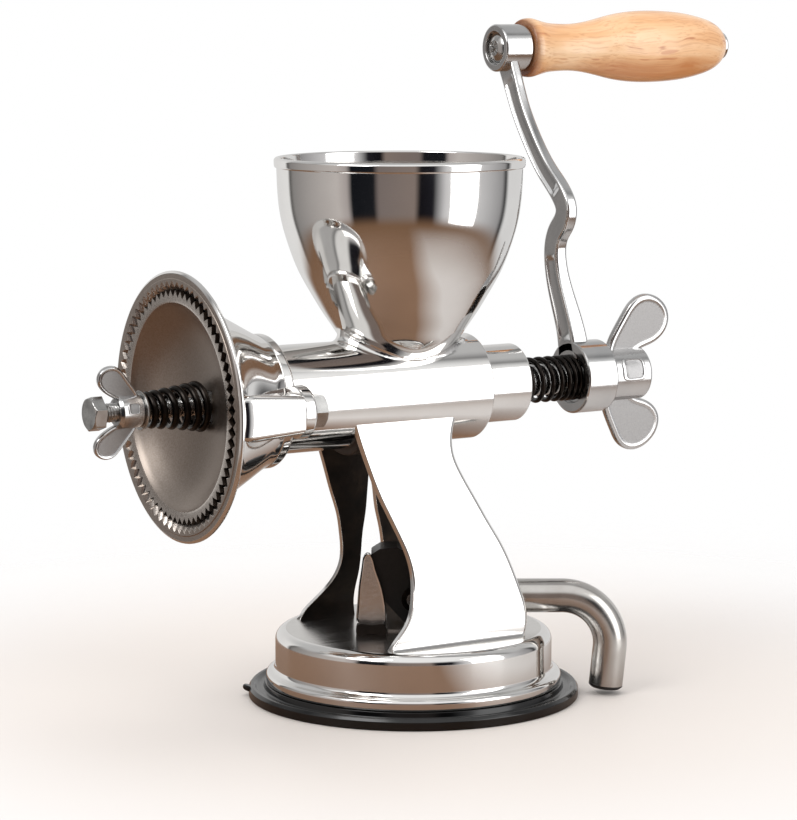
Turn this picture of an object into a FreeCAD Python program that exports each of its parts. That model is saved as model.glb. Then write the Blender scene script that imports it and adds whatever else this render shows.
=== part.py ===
import FreeCAD, Part
import math
import os

import Sketcher

# A hand-cranked grinder that stands on a suction base. The hopper feeds a screw
# in a level barrel, the screw turns a toothed cone inside a fixed toothed bell,
# and a bolt, wing nut and spring at the front set the gap between the two.
# Origin: centre of the pad's underside. +X to the crank, +Z up, -Y to the viewer.

doc = FreeCAD.newDocument("hand_grinder")
sheet = doc.addObject("Spreadsheet::Sheet", "sizes")
# Driving sizes, in millimetres and degrees
sizes = {
    # Heights and axes shared by all pieces
    "axis_height": 134,
    "running_gap": 0.05,
    "thread_gap": 0.12,
    "face_gap": 0.3,
    "wall": 3,
    # Suction pad and base drum
    "pad_overhang": 7.6,
    "pad_lip_height": 5,
    "pad_top": 6.2,
    "pad_seat": 8.4,
    "pad_hollow_height": 3.4,
    "drum_radius": 60.3,
    "drum_top": 29.5,
    "drum_round": 4.5,
    "flange_width": 4.1,
    "flange_top": 11.2,
    "drum_wall": 2.6,
    # Pull stud, plate and cam lever
    "plate_radius": 30,
    "plate_thickness": 2,
    "stud_radius": 4,
    "stud_eye_radius": 8,
    "stud_eye_width": 7.4,
    "guide_radius": 9,
    "guide_thickness": 3.4,
    "pivot_height": 43.4,
    "pivot_radius": 3,
    "cam_width": 17,
    "cam_slot_width": 8.8,
    "cam_drop": 3,
    "cam_clearance": 0.15,
    "cam_swing": 45,
    "wear_thickness": 0.8,
    "wear_width": 24,
    "lever_yaw": -31.2,
    "tube_radius": 7.4,
    "tube_bore": 6.1,
    "tube_start": 16.6,
    "cross_pin_place": 21.5,
    "cross_pin_radius": 2,
    "cross_pin_length": 19.2,
    "lever_clearance": 16.1,
    "tube_bend": 21,
    "tube_lean": 5.7,
    "tube_end": 2.6,
    "guide_plate_thickness": 2,
    # Barrel and pedestal
    "barrel_radius": 23,
    "barrel_bore": 18.2,
    "barrel_rear": 27.3,
    "ring_front": -78.3,
    "ring_rear": -73.3,
    "ring_radius": 28.4,
    "ear_offset": 33,
    "ear_height": 133.3,
    "ear_radius": 11,
    "ear_rear": -72.4,
    "lug_front": -108.6,
    "lug_reach": 45,
    "lug_front_half": 10.4,
    "lug_rear_half": 7.8,
    "lug_round": 3,
    "bell_stud_radius": 4,
    "bell_stud_depth": 14,
    "bell_nut_flats": 13,
    "bell_nut_height": 6.5,
    "bell_washer_radius": 7.6,
    "throat_radius": 15,
    # Hopper
    "hopper_position": -7,
    "hopper_rim_radius": 53.7,
    "hopper_rise": 100.6,
    "hopper_rim_height": 4.4,
    "hopper_wall": 1.8,
    # Grinding bell and cone
    "bell_face": -115.3,
    "bell_radius": 56.6,
    "bell_tooth_tip": 50.2,
    "bell_tooth_root": 52,
    "cone_face": -115,
    "cone_tooth_tip": 48.8,
    "cone_tooth_root": 46.9,
    "tooth_count": 70,
    "tooth_depth": 2.2,
    "cone_ring_thickness": 1.6,
    "dish_radius": 43.5,
    "dish_floor": -101.8,
    "drive_square": 13,
    "cone_rear": -84.5,
    # Adjusting bolt, washer and wing nuts
    "bolt_radius": 4,
    "bolt_head_front": -155,
    "bolt_head_rear": -149.7,
    "bolt_across_flats": 13,
    "bolt_end": -84,
    "front_nut_front": -143,
    "front_nut_rear": -132.2,
    "front_nut_radius": 6.9,
    "front_washer_thickness": 1,
    "front_washer_radius": 8.2,
    "nut_turn": 8,
    # Cone spring and rear spring
    "cone_wire": 3,
    "cone_spring_small": 6.1,
    "cone_spring_large": 9.6,
    "rear_wire": 2.3,
    "rear_spring_radius": 9.1,
    # Screw, rear bearing and crank
    "screw_core": 8,
    "screw_radius": 17.9,
    "screw_pitch": 21,
    "screw_front": -72,
    "screw_rear": 12,
    "journal_radius": 7,
    "journal_flats": 11.4,
    "thread_radius": 6,
    "shaft_end": 117.5,
    "collar_radius": 17,
    "collar_rear": 51,
    "collar_front": 15,
    "bush_radius": 10,
    "spring_washer_radius": 11.6,
    "spring_washer_thickness": 0.9,
    "hub_front": 81.5,
    "hub_rear": 97.5,
    "hub_radius": 16.15,
    "hub_recess_radius": 11.6,
    "hub_recess_depth": 3,
    "crank_radius": 156,
    "crank_turn": -21.7,
    "boss_front": 78.4,
    "boss_rear": 93.2,
    "boss_radius": 10.75,
    "boss_recess_radius": 7.6,
    "boss_recess_depth": 2.6,
    "rear_washer_thickness": 1.2,
    "rear_nut_rear": 119,
    "rear_nut_radius": 11.9,
    # Grip
    "grip_end": 205.1,
    "grip_bulge": 16.7,
    "grip_flange": 13.5,
    "grip_bore": 5,
    "spindle_radius": 4,
    "end_cap_radius": 6.5,
}
for row, (name, value) in enumerate(sizes.items(), start=1):
    sheet.set("A%d" % row, name)
    sheet.set("B%d" % row, str(value))
    sheet.setAlias("B%d" % row, name)

doc.recompute()


def known(name):
    """The sheet's own value of a named size."""
    return float(getattr(sheet, name))


def amount(text):
    """The value of a sum of sizes and numbers, such as 'wall + 2'."""
    total = 0.0
    sign = 1.0
    for word in str(text).split():
        if word in ("+", "-"):
            sign = 1.0 if word == "+" else -1.0
        else:
            total += sign * (known(word) if word in sizes else float(word))
            sign = 1.0
    return total


def formula(text):
    """The same sum as an expression of the sheet's cells."""
    words = str(text).split()
    return " ".join("sizes." + w if w in sizes else w for w in words)


def vec(x, y, z):
    return FreeCAD.Vector(x, y, z)


X_AXIS = vec(1, 0, 0)
Y_AXIS = vec(0, 1, 0)
Z_AXIS = vec(0, 0, 1)
parts = []


def placed(x=0.0, y=0.0, z=0.0, axis=Z_AXIS, angle=0.0):
    return FreeCAD.Placement(vec(x, y, z), FreeCAD.Rotation(axis, angle))


def keep(obj, label):
    """Names a finished sub-part and puts it on the list of pieces to write."""
    obj.Label = label
    parts.append(obj)
    return obj


def feature(label, shape, place=None):
    """A piece whose shape is made with Part's own functions."""
    obj = doc.addObject("Part::Feature", label + "_piece")
    obj.Shape = shape
    if place is not None:
        obj.Placement = place.multiply(obj.Placement)
    return keep(obj, label)


def turned(label, spin, points, place=None, rounds=None):
    """A turned piece: a closed profile of (along, radius) pairs, revolved about X or Z.

    Each pair holds sums of sizes, and every corner of the sketch is tied to the
    sheet. rounds gives a fillet size for a corner, by its place in the profile.
    """
    body = doc.addObject("PartDesign::Body", label + "_body")
    sketch = body.newObject("Sketcher::SketchObject", label + "_profile")
    plane = [p for p in body.Origin.OriginFeatures if p.Role == "XZ_Plane"][0]
    sketch.AttachmentSupport = [(plane, "")]
    sketch.MapMode = "FlatFace"
    flat = [(a, b) if spin == "X" else (b, a) for a, b in points]
    spots = [vec(amount(a), amount(b), 0) for a, b in flat]
    count = len(spots)
    for i in range(count):
        line = Part.LineSegment(spots[i], spots[(i + 1) % count])
        sketch.addGeometry(line, False)
    for i in range(count):
        joint = Sketcher.Constraint("Coincident", i, 2, (i + 1) % count, 1)
        sketch.addConstraint(joint)
    for i, (a, b) in enumerate(flat):
        for kind, line, text, here in (
            ("DistanceX", -2, a, spots[i].x),
            ("DistanceY", -1, b, spots[i].y),
        ):
            if abs(here) < 1e-9:
                sketch.addConstraint(Sketcher.Constraint("PointOnObject", i, 1, line))
                continue
            rule = Sketcher.Constraint(kind, -1, 1, i, 1, here)
            index = sketch.addConstraint(rule)
            sketch.setExpression("Constraints[%d]" % index, formula(text))
    turn = body.newObject("PartDesign::Revolution", label + "_turn")
    turn.Profile = sketch
    turn.ReferenceAxis = (sketch, ["H_Axis" if spin == "X" else "V_Axis"])
    turn.Angle = 360
    body.Tip = turn
    doc.recompute()
    groups = {}
    for corner, text in (rounds or {}).items():
        groups.setdefault(text, []).append(corner)
    for text, corners in groups.items():
        found = []
        for k, edge in enumerate(body.Tip.Shape.Edges):
            if not isinstance(edge.Curve, Part.Circle):
                continue
            centre = edge.Curve.Center
            along = centre.x if spin == "X" else centre.z
            for c in corners:
                near = abs(along - amount(points[c][0])) < 1e-4
                if near and abs(edge.Curve.Radius - amount(points[c][1])) < 1e-4:
                    found.append("Edge%d" % (k + 1))
        base = body.Tip
        soft = body.newObject("PartDesign::Fillet", "%s_round" % label)
        soft.Base = (base, sorted(set(found)))
        soft.Radius = amount(text)
        soft.setExpression("Radius", formula(text))
        body.Tip = soft
        doc.recompute()
    if place is not None:
        body.Placement = place
    return keep(body, label)


def spun(points, axis):
    """A solid of revolution from the corners of its section."""
    wire = Part.makePolygon(points + [points[0]])
    return Part.Face(wire).revolve(vec(0, 0, 0), axis, 360)


def smooth(points):
    """One smooth curve through the points, as an edge."""
    curve = Part.BSplineCurve()
    curve.interpolate(Points=points)
    return curve.toShape()


def straight(points):
    """The straight edges that join the points in turn."""
    return [Part.LineSegment(a, b).toShape() for a, b in zip(points, points[1:])]


def face_of(edges):
    return Part.Face(Part.Wire(Part.__sortEdges__(edges)))


def rod(radius, start, end, y=0.0, z=0.0):
    """A round bar along X."""
    return Part.makeCylinder(radius, end - start, vec(start, y, z), X_AXIS)


def hexagon(across, start, end, y=0.0, z=0.0, turn=0.0):
    """A hexagonal bar along X, given across its flats."""
    reach = across / math.sqrt(3)
    corners = []
    for k in range(7):
        a = math.radians(60 * k + turn)
        corners.append(vec(start, y + reach * math.cos(a), z + reach * math.sin(a)))
    return Part.Face(Part.makePolygon(corners)).extrude(vec(end - start, 0, 0))


def chamfered_hexagon(across, start, end, y=0.0, z=0.0, turn=0.0, both=True):
    """A hexagonal bar along X with the corners of its ends turned off."""
    bar = hexagon(across, start, end, y, z, turn)
    reach = across / math.sqrt(3)
    flat = across / 2 - 0.2
    drop = (reach - flat) * 0.55
    last = end - drop if both else end
    hull_line = [vec(start, 0, 0), vec(start, flat, 0), vec(start + drop, reach + 0.01, 0)]
    hull_line += [vec(last, reach + 0.01, 0)]
    hull_line += [vec(end, flat if both else reach + 0.01, 0), vec(end, 0, 0)]
    hull = spun(dedupe(hull_line), X_AXIS)
    hull.translate(vec(0, y, z))
    return bar.common(hull)


def dedupe(points):
    """The points without any that repeats the one before it."""
    result = [points[0]]
    for p in points[1:]:
        if p.distanceToPoint(result[-1]) > 1e-6:
            result.append(p)
    return result


def arc_from(start, tangent, end):
    """The arc that leaves start along tangent and ends at end."""
    chord = end.sub(start)
    along = vec(chord.x, chord.y, chord.z).normalize()
    side = tangent.sub(along * tangent.dot(along)).normalize()
    half = chord.Length / 2
    angle = math.acos(max(-1.0, min(1.0, tangent.dot(along))))
    middle = start.add(chord * 0.5).add(side * (half * math.tan(angle / 2)))
    return Part.Arc(start, middle, end).toShape()


def coil(turns, along, radius, wire_radius):
    """A spring about X as one round wire, swept along two arcs to each quarter turn.

    along and radius give the wire's centre after a number of turns.
    """

    def spot(u):
        a = 2 * math.pi * u
        return vec(along(u), radius(u) * math.cos(a), radius(u) * math.sin(a))

    def heading(u):
        step = 1e-4
        return spot(u + step).sub(spot(u - step)).normalize()

    edges = []
    steps = int(round(turns * 4))
    for k in range(steps):
        p, q = spot(turns * k / steps), spot(turns * (k + 1) / steps)
        s, e = heading(turns * k / steps), heading(turns * (k + 1) / steps)
        v = q.sub(p)
        both = s.add(e)
        bend = 2 * (1 - s.dot(e))
        reach = v.dot(both)
        d = (-reach + math.sqrt(reach * reach + bend * v.dot(v))) / bend
        middle = p.add(s * d).add(q.sub(e * d)) * 0.5
        edges.append(arc_from(p, s, middle))
        edges.append(reversed_arc(q, e, middle))
    path = Part.Wire(edges)
    profile = Part.Wire(Part.Circle(spot(0), heading(0), wire_radius).toShape())
    solid = path.makePipeShell([profile], True, False)
    points = [spot(turns * k / 400.0) for k in range(401)]
    least = 1e9
    for i, p in enumerate(points):
        for j in range(i + int(0.6 * 400 / turns), len(points)):
            least = min(least, p.distanceToPoint(points[j]))
    print("least gap between turns", round(least - 2 * wire_radius, 2))
    return solid


def reversed_arc(end, tangent, start):
    """The arc from start that reaches end along tangent."""
    back = arc_from(end, tangent * -1, start)
    curve = back.Curve
    first, last = back.FirstParameter, back.LastParameter
    middle = back.valueAt((first + last) / 2)
    return Part.Arc(start, middle, end).toShape()


def star(tip, root, count, start, end, shift=0.0):
    """A toothed bar along X: pointed teeth between two radii."""
    corners = []
    for k in range(2 * count + 1):
        a = math.pi * (k + shift) / count
        r = tip if k % 2 == 0 else root
        corners.append(vec(start, r * math.cos(a), r * math.sin(a)))
    return Part.Face(Part.makePolygon(corners)).extrude(vec(end - start, 0, 0))


def lifted(shape):
    """The shape moved from the X axis up to the height of the barrel's axis."""
    moved = shape.copy()
    moved.translate(vec(0, 0, known("axis_height")))
    return moved


AXIS = placed(0, 0, known("axis_height"))

# The drum's flange sets the size of the pad below it
FLANGE = "drum_radius + flange_width"

# Suction pad: a rubber disc with a raised lip and a hollow underneath
turned(
    "suction_pad",
    "Z",
    [
        ("pad_hollow_height", "0"),
        ("pad_hollow_height", FLANGE + " - pad_seat - 16"),
        ("0", FLANGE + " - pad_seat"),
        ("0", FLANGE + " + pad_overhang"),
        ("pad_lip_height - 1.4", FLANGE + " + pad_overhang"),
        ("pad_lip_height", FLANGE + " + pad_overhang - 1"),
        ("pad_lip_height - 0.2", FLANGE + " + pad_overhang - 2.4"),
        ("pad_lip_height - 1.4", FLANGE + " + pad_overhang - 3.6"),
        ("pad_lip_height - 1.2", FLANGE + " + 0.9"),
        ("pad_top", FLANGE + " + 0.3"),
        ("pad_top", "0"),
    ],
    rounds={4: "0.6", 5: "0.4"},
)

# Base drum: a flanged cover with a rounded top edge
turned(
    "base_drum",
    "Z",
    [
        ("pad_top", "drum_radius - drum_wall"),
        ("pad_top", FLANGE),
        ("flange_top", FLANGE),
        ("flange_top", "drum_radius"),
        ("drum_top", "drum_radius"),
        ("drum_top", "guide_radius"),
        ("drum_top - drum_wall", "guide_radius"),
        ("drum_top - drum_wall", "drum_radius - drum_wall"),
    ],
    rounds={1: "1.2", 2: "1.6", 3: "flange_width - 0.7", 4: "drum_round"},
)

# Guide bush in the drum's top, for the pull stud
turned(
    "stud_guide",
    "Z",
    [
        ("drum_top", "stud_radius + running_gap"),
        ("drum_top", "guide_radius"),
        ("drum_top - drum_wall", "guide_radius"),
        ("drum_top - drum_wall", "guide_radius + 3"),
        ("drum_top - drum_wall - guide_thickness", "guide_radius + 3"),
        ("drum_top - drum_wall - guide_thickness", "stud_radius + running_gap"),
    ],
)

# Plate on the pad's back that the stud pulls
turned(
    "pad_plate",
    "Z",
    [
        ("pad_top + face_gap", "0"),
        ("pad_top + face_gap", "plate_radius"),
        ("pad_top + face_gap + plate_thickness", "plate_radius"),
        ("pad_top + face_gap + plate_thickness", "0"),
    ],
    rounds={2: "0.6"},
)


def lever_frame(shape):
    """The shape turned from the X-Z plane into the lever's own upright plane."""
    moved = shape.copy()
    moved.rotate(vec(0, 0, 0), Z_AXIS, known("lever_yaw"))
    return moved


def lever_bar(radius, width, x=0.0, z=0.0):
    """A round bar across the lever's plane, centred on it."""
    return Part.makeCylinder(radius, width, vec(x, -width / 2, z), Y_AXIS)


def lever_plate(outline, low, high):
    """A flat piece in the lever's plane, between two distances across it."""
    corners = [vec(x, low, z) for x, z in outline]
    return Part.Face(Part.makePolygon(corners + corners[:1])).extrude(vec(0, high - low, 0))


pivot = known("pivot_height")

# Pull stud: a round rod whose flat eye takes the pivot pin
stud_foot = known("pad_top") + known("face_gap") + known("plate_thickness")
stud = Part.makeCylinder(known("stud_radius"), pivot - stud_foot - 5, vec(0, 0, stud_foot))
eye = lever_bar(known("stud_eye_radius"), known("stud_eye_width"), 0, pivot)
stud = stud.fuse(eye).cut(lever_bar(known("pivot_radius"), 30, 0, pivot))
feature("pull_stud", lever_frame(stud.removeSplitter()))

# Pivot pin and the two clips that hold it
pin_length = known("cam_width") + 5
pin = lever_bar(known("pivot_radius"), pin_length, 0, pivot)
grooves = None
for side in (-1, 1):
    at = side * (known("cam_width") / 2 + 1.0) - 0.4
    ring = Part.makeCylinder(4, 0.8, vec(0, at, pivot), Y_AXIS)
    ring = ring.cut(Part.makeCylinder(2.4, 0.8, vec(0, at, pivot), Y_AXIS))
    grooves = ring if grooves is None else grooves.fuse(ring)
feature("lever_pivot_pin", lever_frame(pin.cut(grooves)))
clips = []
for side in (-1, 1):
    at = side * (known("cam_width") / 2 + 1.0) - 0.35
    clip = Part.makeCylinder(5.2, 0.7, vec(0, at, pivot), Y_AXIS)
    clip = clip.cut(Part.makeCylinder(2.45, 0.7, vec(0, at, pivot), Y_AXIS))
    clip = clip.cut(Part.makeBox(3, 0.7, 8, vec(-1.5, at, pivot)))
    clips.append(lever_frame(clip))
feature("pivot_clips", Part.makeCompound(clips))


def cam_reach(angle):
    """How far the cam's foot may reach at an angle from its lowest point.

    The pivot sinks evenly as the lever swings up, and the foot never goes into
    the wear plate below it.
    """
    rest = pivot - known("drum_top") - known("wear_thickness")
    nearest = rest
    for k in range(91):
        part_way = k / 90
        swing = known("cam_swing") * part_way
        room = rest - known("cam_drop") * part_way
        nearest = min(nearest, room / math.cos(math.radians(swing - angle)))
    return nearest - known("cam_clearance")


# Cam: a block that straddles the stud's eye. Its foot follows a spiral, so the
# stud sinks as the lever swings up.
foot = [(9.0, -cam_reach(0)), (0.0, -cam_reach(0))]
for k in range(1, 10):
    angle = known("cam_swing") * k / 9
    turn = math.radians(angle)
    foot.append((-cam_reach(angle) * math.sin(turn), -cam_reach(angle) * math.cos(turn)))
outline = foot + [(-cam_reach(0) - 0.5, -0.4), (-18.2, 8), (-18.4, 19.6), (-14.6, 22), (-7, 22.6)]
outline += [(-1, 20), (8, 12), (14, 9.6), (26, 9.6), (26, -9.6), (17, -9.6)]
outline = [(x, z + pivot) for x, z in outline]
half_cam = known("cam_width") / 2
cam = lever_plate(outline, -half_cam, half_cam)
broad_edges = [e for e in cam.Edges if abs(e.Length - known("cam_width")) < 0.01]
soft_edges = [e for e in broad_edges if e.CenterOfMass.z > pivot + 15 or e.CenterOfMass.x > 25]
cam = cam.makeFillet(1.2, soft_edges)
slot = known("cam_slot_width")
cam = cam.cut(Part.makeBox(27, slot, 26.5, vec(-11, -slot / 2, pivot - 17)))
cam = cam.cut(lever_bar(known("pivot_radius") + known("running_gap"), 30, 0, pivot))
cam = cam.cut(rod(known("tube_radius"), known("tube_start"), 40, 0, pivot))
cross_place, cross_radius = known("cross_pin_place"), known("cross_pin_radius")
cross_hole = Part.makeCylinder(cross_radius, 30, vec(cross_place, 0, pivot - 15))
cam = cam.cut(cross_hole)
feature("lever_cam", lever_frame(cam))

# Lever tube: level out of the base, then bent down past the edge of the pad
lean = math.radians(known("tube_lean"))
reach = amount(FLANGE + " + pad_overhang + lever_clearance")
bend = known("tube_bend")
turn = math.pi / 2 + lean
setback = bend * math.tan(turn / 2)
corner = vec(reach, 0, pivot)
down = vec(-math.sin(lean), 0, -math.cos(lean))
bend_start = vec(reach - setback, 0, pivot)
bend_end = corner.add(down * setback)
centre = vec(reach - setback, 0, pivot - bend)
halfway = centre.add(vec(math.sin(turn / 2), 0, math.cos(turn / 2)) * bend)
leg_end = corner.add(down * ((pivot - known("tube_end") - 1.5) / math.cos(lean)))
tube_start = vec(known("tube_start"), 0, pivot)
path = Part.Wire(
    [
        Part.LineSegment(tube_start, bend_start).toShape(),
        Part.Arc(bend_start, halfway, bend_end).toShape(),
        Part.LineSegment(bend_end, leg_end).toShape(),
    ]
)


def pipe(radius):
    ring = Part.Wire(Part.Circle(tube_start, X_AXIS, radius).toShape())
    return path.makePipeShell([ring], True, True)


tube = pipe(known("tube_radius")).cut(pipe(known("tube_bore")))
tube = tube.cut(cross_hole)
feature("lever_tube", lever_frame(tube))
cross_length = known("cross_pin_length")
cross_pin = Part.makeCylinder(cross_radius, cross_length, vec(cross_place, 0, pivot - cross_length / 2))
feature("lever_cross_pin", lever_frame(cross_pin))

# Rounded plug in the tube's lower end
plug_radius = known("tube_radius")
plug = spun(
    [
        vec(0, 0, -8),
        vec(known("tube_bore"), 0, -8),
        vec(known("tube_bore"), 0, 0),
        vec(plug_radius, 0, 0),
        vec(plug_radius, 0, 0.5),
        vec(plug_radius - 1, 0, 1.5),
        vec(0, 0, 1.5),
    ],
    Z_AXIS,
)
plug.rotate(vec(0, 0, 0), Y_AXIS, 180 + known("tube_lean"))
plug.translate(leg_end)
feature("lever_end_cap", lever_frame(plug))

# Wear plate that the cam bears on, and the upright guide plate beside the cam
wear = Part.makeBox(known("wear_width"), 20.4, known("wear_thickness"), vec(-11, -10.2, known("drum_top")))
wear = wear.cut(Part.makeCylinder(known("stud_radius") + 0.6, 9, vec(0, 0, known("drum_top") - 4)))
feature("cam_wear_plate", lever_frame(wear))
guide_spots = [(-24.6, 0), (-24.8, 9), (-21.8, 30.6), (-19.6, 33.2), (-17.6, 31.8)]
guide_spots += [(-15.4, 25.8), (-12.9, 18.2), (-11.6, 12.6), (-11.8, 0)]
guide_spots = [(x, known("drum_top") + up) for x, up in guide_spots]
guide_low = -half_cam - 2.4 - known("guide_plate_thickness")
leaf = lever_plate(guide_spots, guide_low, guide_low + known("guide_plate_thickness"))
short_edges = [e for e in leaf.Edges if abs(e.Length - known("guide_plate_thickness")) < 0.01]
soft_edges = [e for e in short_edges if e.CenterOfMass.z > known("drum_top") + 7]
leaf = leaf.makeFillet(1.5, soft_edges)
foot_plate = Part.makeBox(13, 7, 2, vec(-24.7, guide_low - 5, known("drum_top")))
feature("cam_guide", lever_frame(leaf.fuse(foot_plate).removeSplitter()))

# Pedestal: two flared walls, open to the front and the rear, joined by a saddle
height = known("axis_height")
wall = known("wall")
drum_top = known("drum_top")


def rising(points):
    """Points up a wall: each height is given as a share of the way from the drum to the axis."""
    return [(across, drum_top + share * (height - drum_top)) for across, share in points]


side_low = [(-35.8, 0), (-33, 0.0383), (-29.4, 0.0718), (-24.4, 0.1244), (-20.6, 0.1962)]
side_low += [(-19.3, 0.2775), (-20.6, 0.3589), (-24.6, 0.4737), (-29.8, 0.5885), (-35.3, 0.7321)]
side_low += [(-40.2, 0.866), (-42, 0.9234)]
side_high = [(32.4, 0), (34.2, 0.08), (34.6, 0.14), (33.2, 0.2297), (28.8, 0.3493), (22, 0.4842)]
side_high += [(15.4, 0.6048), (11.6, 0.6737), (8.6, 0.7426), (7.8, 0.799), (8.6, 0.866)]
side_high += [(10.4, 0.9234)]
spread = [(40.4, 0), (40.6, 0.0431), (37.6, 0.1292), (34, 0.1962), (31.7, 0.2632)]
spread += [(29, 0.378), (26, 0.4641), (24.2, 0.5407), (22.4, 0.6268), (21.2, 0.7225)]
spread += [(20.7, 0.8086), (20.6, 0.9234)]
side_low, side_high, spread = rising(side_low), rising(side_high), rising(spread)
reach_y = 60
side_edges = [
    smooth([vec(x, -reach_y, z) for x, z in side_low]),
    smooth([vec(x, -reach_y, z) for x, z in side_high]),
]
for low_end, high_end in ((side_low[0], side_high[0]), (side_low[-1], side_high[-1])):
    ends = [vec(x, -reach_y, z) for x, z in (low_end, high_end)]
    side_edges += straight(ends)
profile = face_of(side_edges).extrude(vec(0, 2 * reach_y, 0))
walls = []
for side in (-1, 1):
    outer = [vec(-60, side * y, z) for y, z in spread]
    inner = [vec(-60, side * (y - wall), z) for y, z in spread]
    wall_edges = [smooth(outer), smooth(inner)]
    wall_edges += straight([outer[0], inner[0]]) + straight([outer[-1], inner[-1]])
    walls.append(face_of(wall_edges).extrude(vec(120, 0, 0)))
saddle = rod(known("barrel_radius") + wall, -60, 60, 0, height)
saddle = saddle.common(Part.makeBox(120, 36, 40, vec(-60, -18, height - 48)))
solid = walls[0].fuse([walls[1], saddle]).common(profile)
solid = solid.cut(rod(known("barrel_radius"), -70, 60, 0, height))
slot_edges = [(-7.6, 0.0189), (-9.4, 0.2344), (-10.2, 0.42), (-11, 0.6306), (-9.7, 0.64)]
slot_edges += [(-8.3, 0.6), (-4.9, 0.48), (-0.6, 0.38), (1.8, 0.29), (3.4, 0.177), (5, 0.0189)]
slot_edges = [vec(x, 20, z) for x, z in rising(slot_edges)]
slot_face = Part.Face(Part.makePolygon(slot_edges + slot_edges[:1]))
solid = solid.cut(slot_face.extrude(vec(0, 40, 0)))
room = known("tube_radius") + known("face_gap")
solid = solid.cut(lever_frame(Part.makeBox(60, 2 * room, 70, vec(24, -room, drum_top + 6))))
feature("pedestal", solid.removeSplitter())

# Barrel with its front ring and the two ears that carry the bell
bore = known("barrel_bore")
ring_front = known("ring_front")
barrel = rod(known("barrel_radius"), ring_front, known("barrel_rear"))
ring = rod(known("ring_radius"), ring_front, known("ring_rear"))
rear_edges = [e for e in ring.Edges if abs(e.BoundBox.XMin - known("ring_rear")) < 1e-6]
ring = ring.makeFillet(1.2, rear_edges)
ear_lift = known("ear_height") - height
ear_edge = 1.2
web_half = known("ear_radius") - 1.4
ears = []
for side in (-1, 1):
    y = side * known("ear_offset")
    ear = rod(known("ear_radius"), ring_front, known("ear_rear"), y, ear_lift)
    end_edges = [e for e in ear.Edges if e.BoundBox.XMin > known("ear_rear") - 1e-6]
    ear = ear.makeFillet(ear_edge, end_edges)
    web_low = min(0, y)
    web_corner = vec(ring_front, web_low, ear_lift - web_half)
    web_length = known("ear_rear") - ring_front - ear_edge
    web = Part.makeBox(web_length, abs(y), 2 * web_half, web_corner)
    ears.append(ear.fuse(web))
barrel = barrel.fuse([ring] + ears)
barrel = barrel.cut(rod(bore, ring_front - 1, known("barrel_rear") + 1))
throat = Part.makeCylinder(known("throat_radius"), 40, vec(known("hopper_position"), 0, 0))
barrel = barrel.cut(throat)
stud_hole = known("bell_stud_radius") + 0.2
for side in (-1, 1):
    y = side * known("ear_offset")
    barrel = barrel.cut(rod(stud_hole, ring_front - 1, known("ear_rear") + 1, y, ear_lift))
feature("barrel_housing", lifted(barrel.removeSplitter()))

# Hopper: a spun cup, open at the top, that stands on the barrel
rim = height + known("hopper_rise")
rim_low = rim - known("hopper_rim_height")
rim_radius = known("hopper_rim_radius")
cup = [(1, 4.4), (1.4, 14.6), (2.8, 26.1), (5.9, 37.4), (10.4, 49), (15.7, 58.6), (20.7, 66.8)]
cup += [(24.7, 72.7), (27.3, 76.6), (30.6, 80.4), (33.6, 83.2), (36.2, 85)]
cup = [(rim_radius - inward, rim - drop) for inward, drop in cup]
cup_wall = known("hopper_wall")
outside = [vec(r, 0, z) for r, z in cup]
inside = []
for k, (r, z) in enumerate(cup):
    before, after = cup[max(k - 1, 0)], cup[min(k + 1, len(cup) - 1)]
    dr, dz = after[0] - before[0], after[1] - before[1]
    length = math.hypot(dr, dz)
    inside.append(vec(r + cup_wall * dz / length, 0, z - cup_wall * dr / length))
inside[0] = vec(cup[0][0] - cup_wall, 0, rim_low)
hopper_edges = [smooth(outside), smooth(inside)]
hopper_edges += straight(
    [outside[0], vec(rim_radius, 0, rim_low + 0.8), vec(rim_radius, 0, rim - 1), vec(rim_radius - 1, 0, rim)]
)
hopper_edges += straight([vec(rim_radius - 1, 0, rim), vec(cup[0][0] - cup_wall + 0.6, 0, rim), inside[0]])
hopper_foot = height + 6
throat_wall = known("throat_radius")
throat_foot = vec(throat_wall, 0, hopper_foot)
throat_top = vec(throat_wall, 0, inside[-1].z - 1.4)
foot_edge = vec(throat_wall + 2.4, 0, hopper_foot)
hopper_edges += straight([outside[-1], foot_edge, throat_foot, throat_top, inside[-1]])
hopper = face_of(hopper_edges).revolve(vec(0, 0, 0), Z_AXIS, 360)
hopper.translate(vec(known("hopper_position"), 0, 0))
hopper = hopper.cut(rod(known("barrel_radius"), -80, 60, 0, height))
feature("hopper", hopper.removeSplitter())

# Grinding bell: a flared cover with pointed teeth around its mouth
face = known("bell_face")
bell_rim = known("bell_radius")
back = ring_front - 0.1
flare = [(face + 3.1, 53), (face + 4.2, 49.6), (face + 7.3, 45.8), (face + 12.3, 41.9)]
flare += [(face + 18.3, 38.2), (face + 24.3, 34.9), (face + 30.3, 31.6), (back, known("ring_radius"))]
flare_line = [vec(x, r, 0) for x, r in flare]
tip, root = known("bell_tooth_tip"), known("bell_tooth_root")
depth = known("tooth_depth")
bell_edges = [smooth(flare_line)]
bell_edges += straight(
    [
        flare_line[-1],
        vec(back, bore, 0),
        vec(back - 5.5, bore, 0),
        vec(face + depth, tip - 2.6, 0),
        vec(face + depth, tip, 0),
        vec(face, tip, 0),
    ]
)
bell_edges += straight([vec(face, tip, 0), vec(face, root + 0.6, 0), vec(face + 0.35, root + 1, 0)])
bell_edges += straight([vec(face + 0.35, root + 1, 0), vec(face + 0.35, bell_rim - 1, 0)])
rim_start = vec(face + 0.35, bell_rim - 1, 0)
rim_end = vec(face + 2.6, bell_rim - 0.6, 0)
bell_edges.append(Part.Arc(rim_start, vec(face + 1.5, bell_rim, 0), rim_end).toShape())
bell_edges += straight([rim_end, flare_line[0]])
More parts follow.
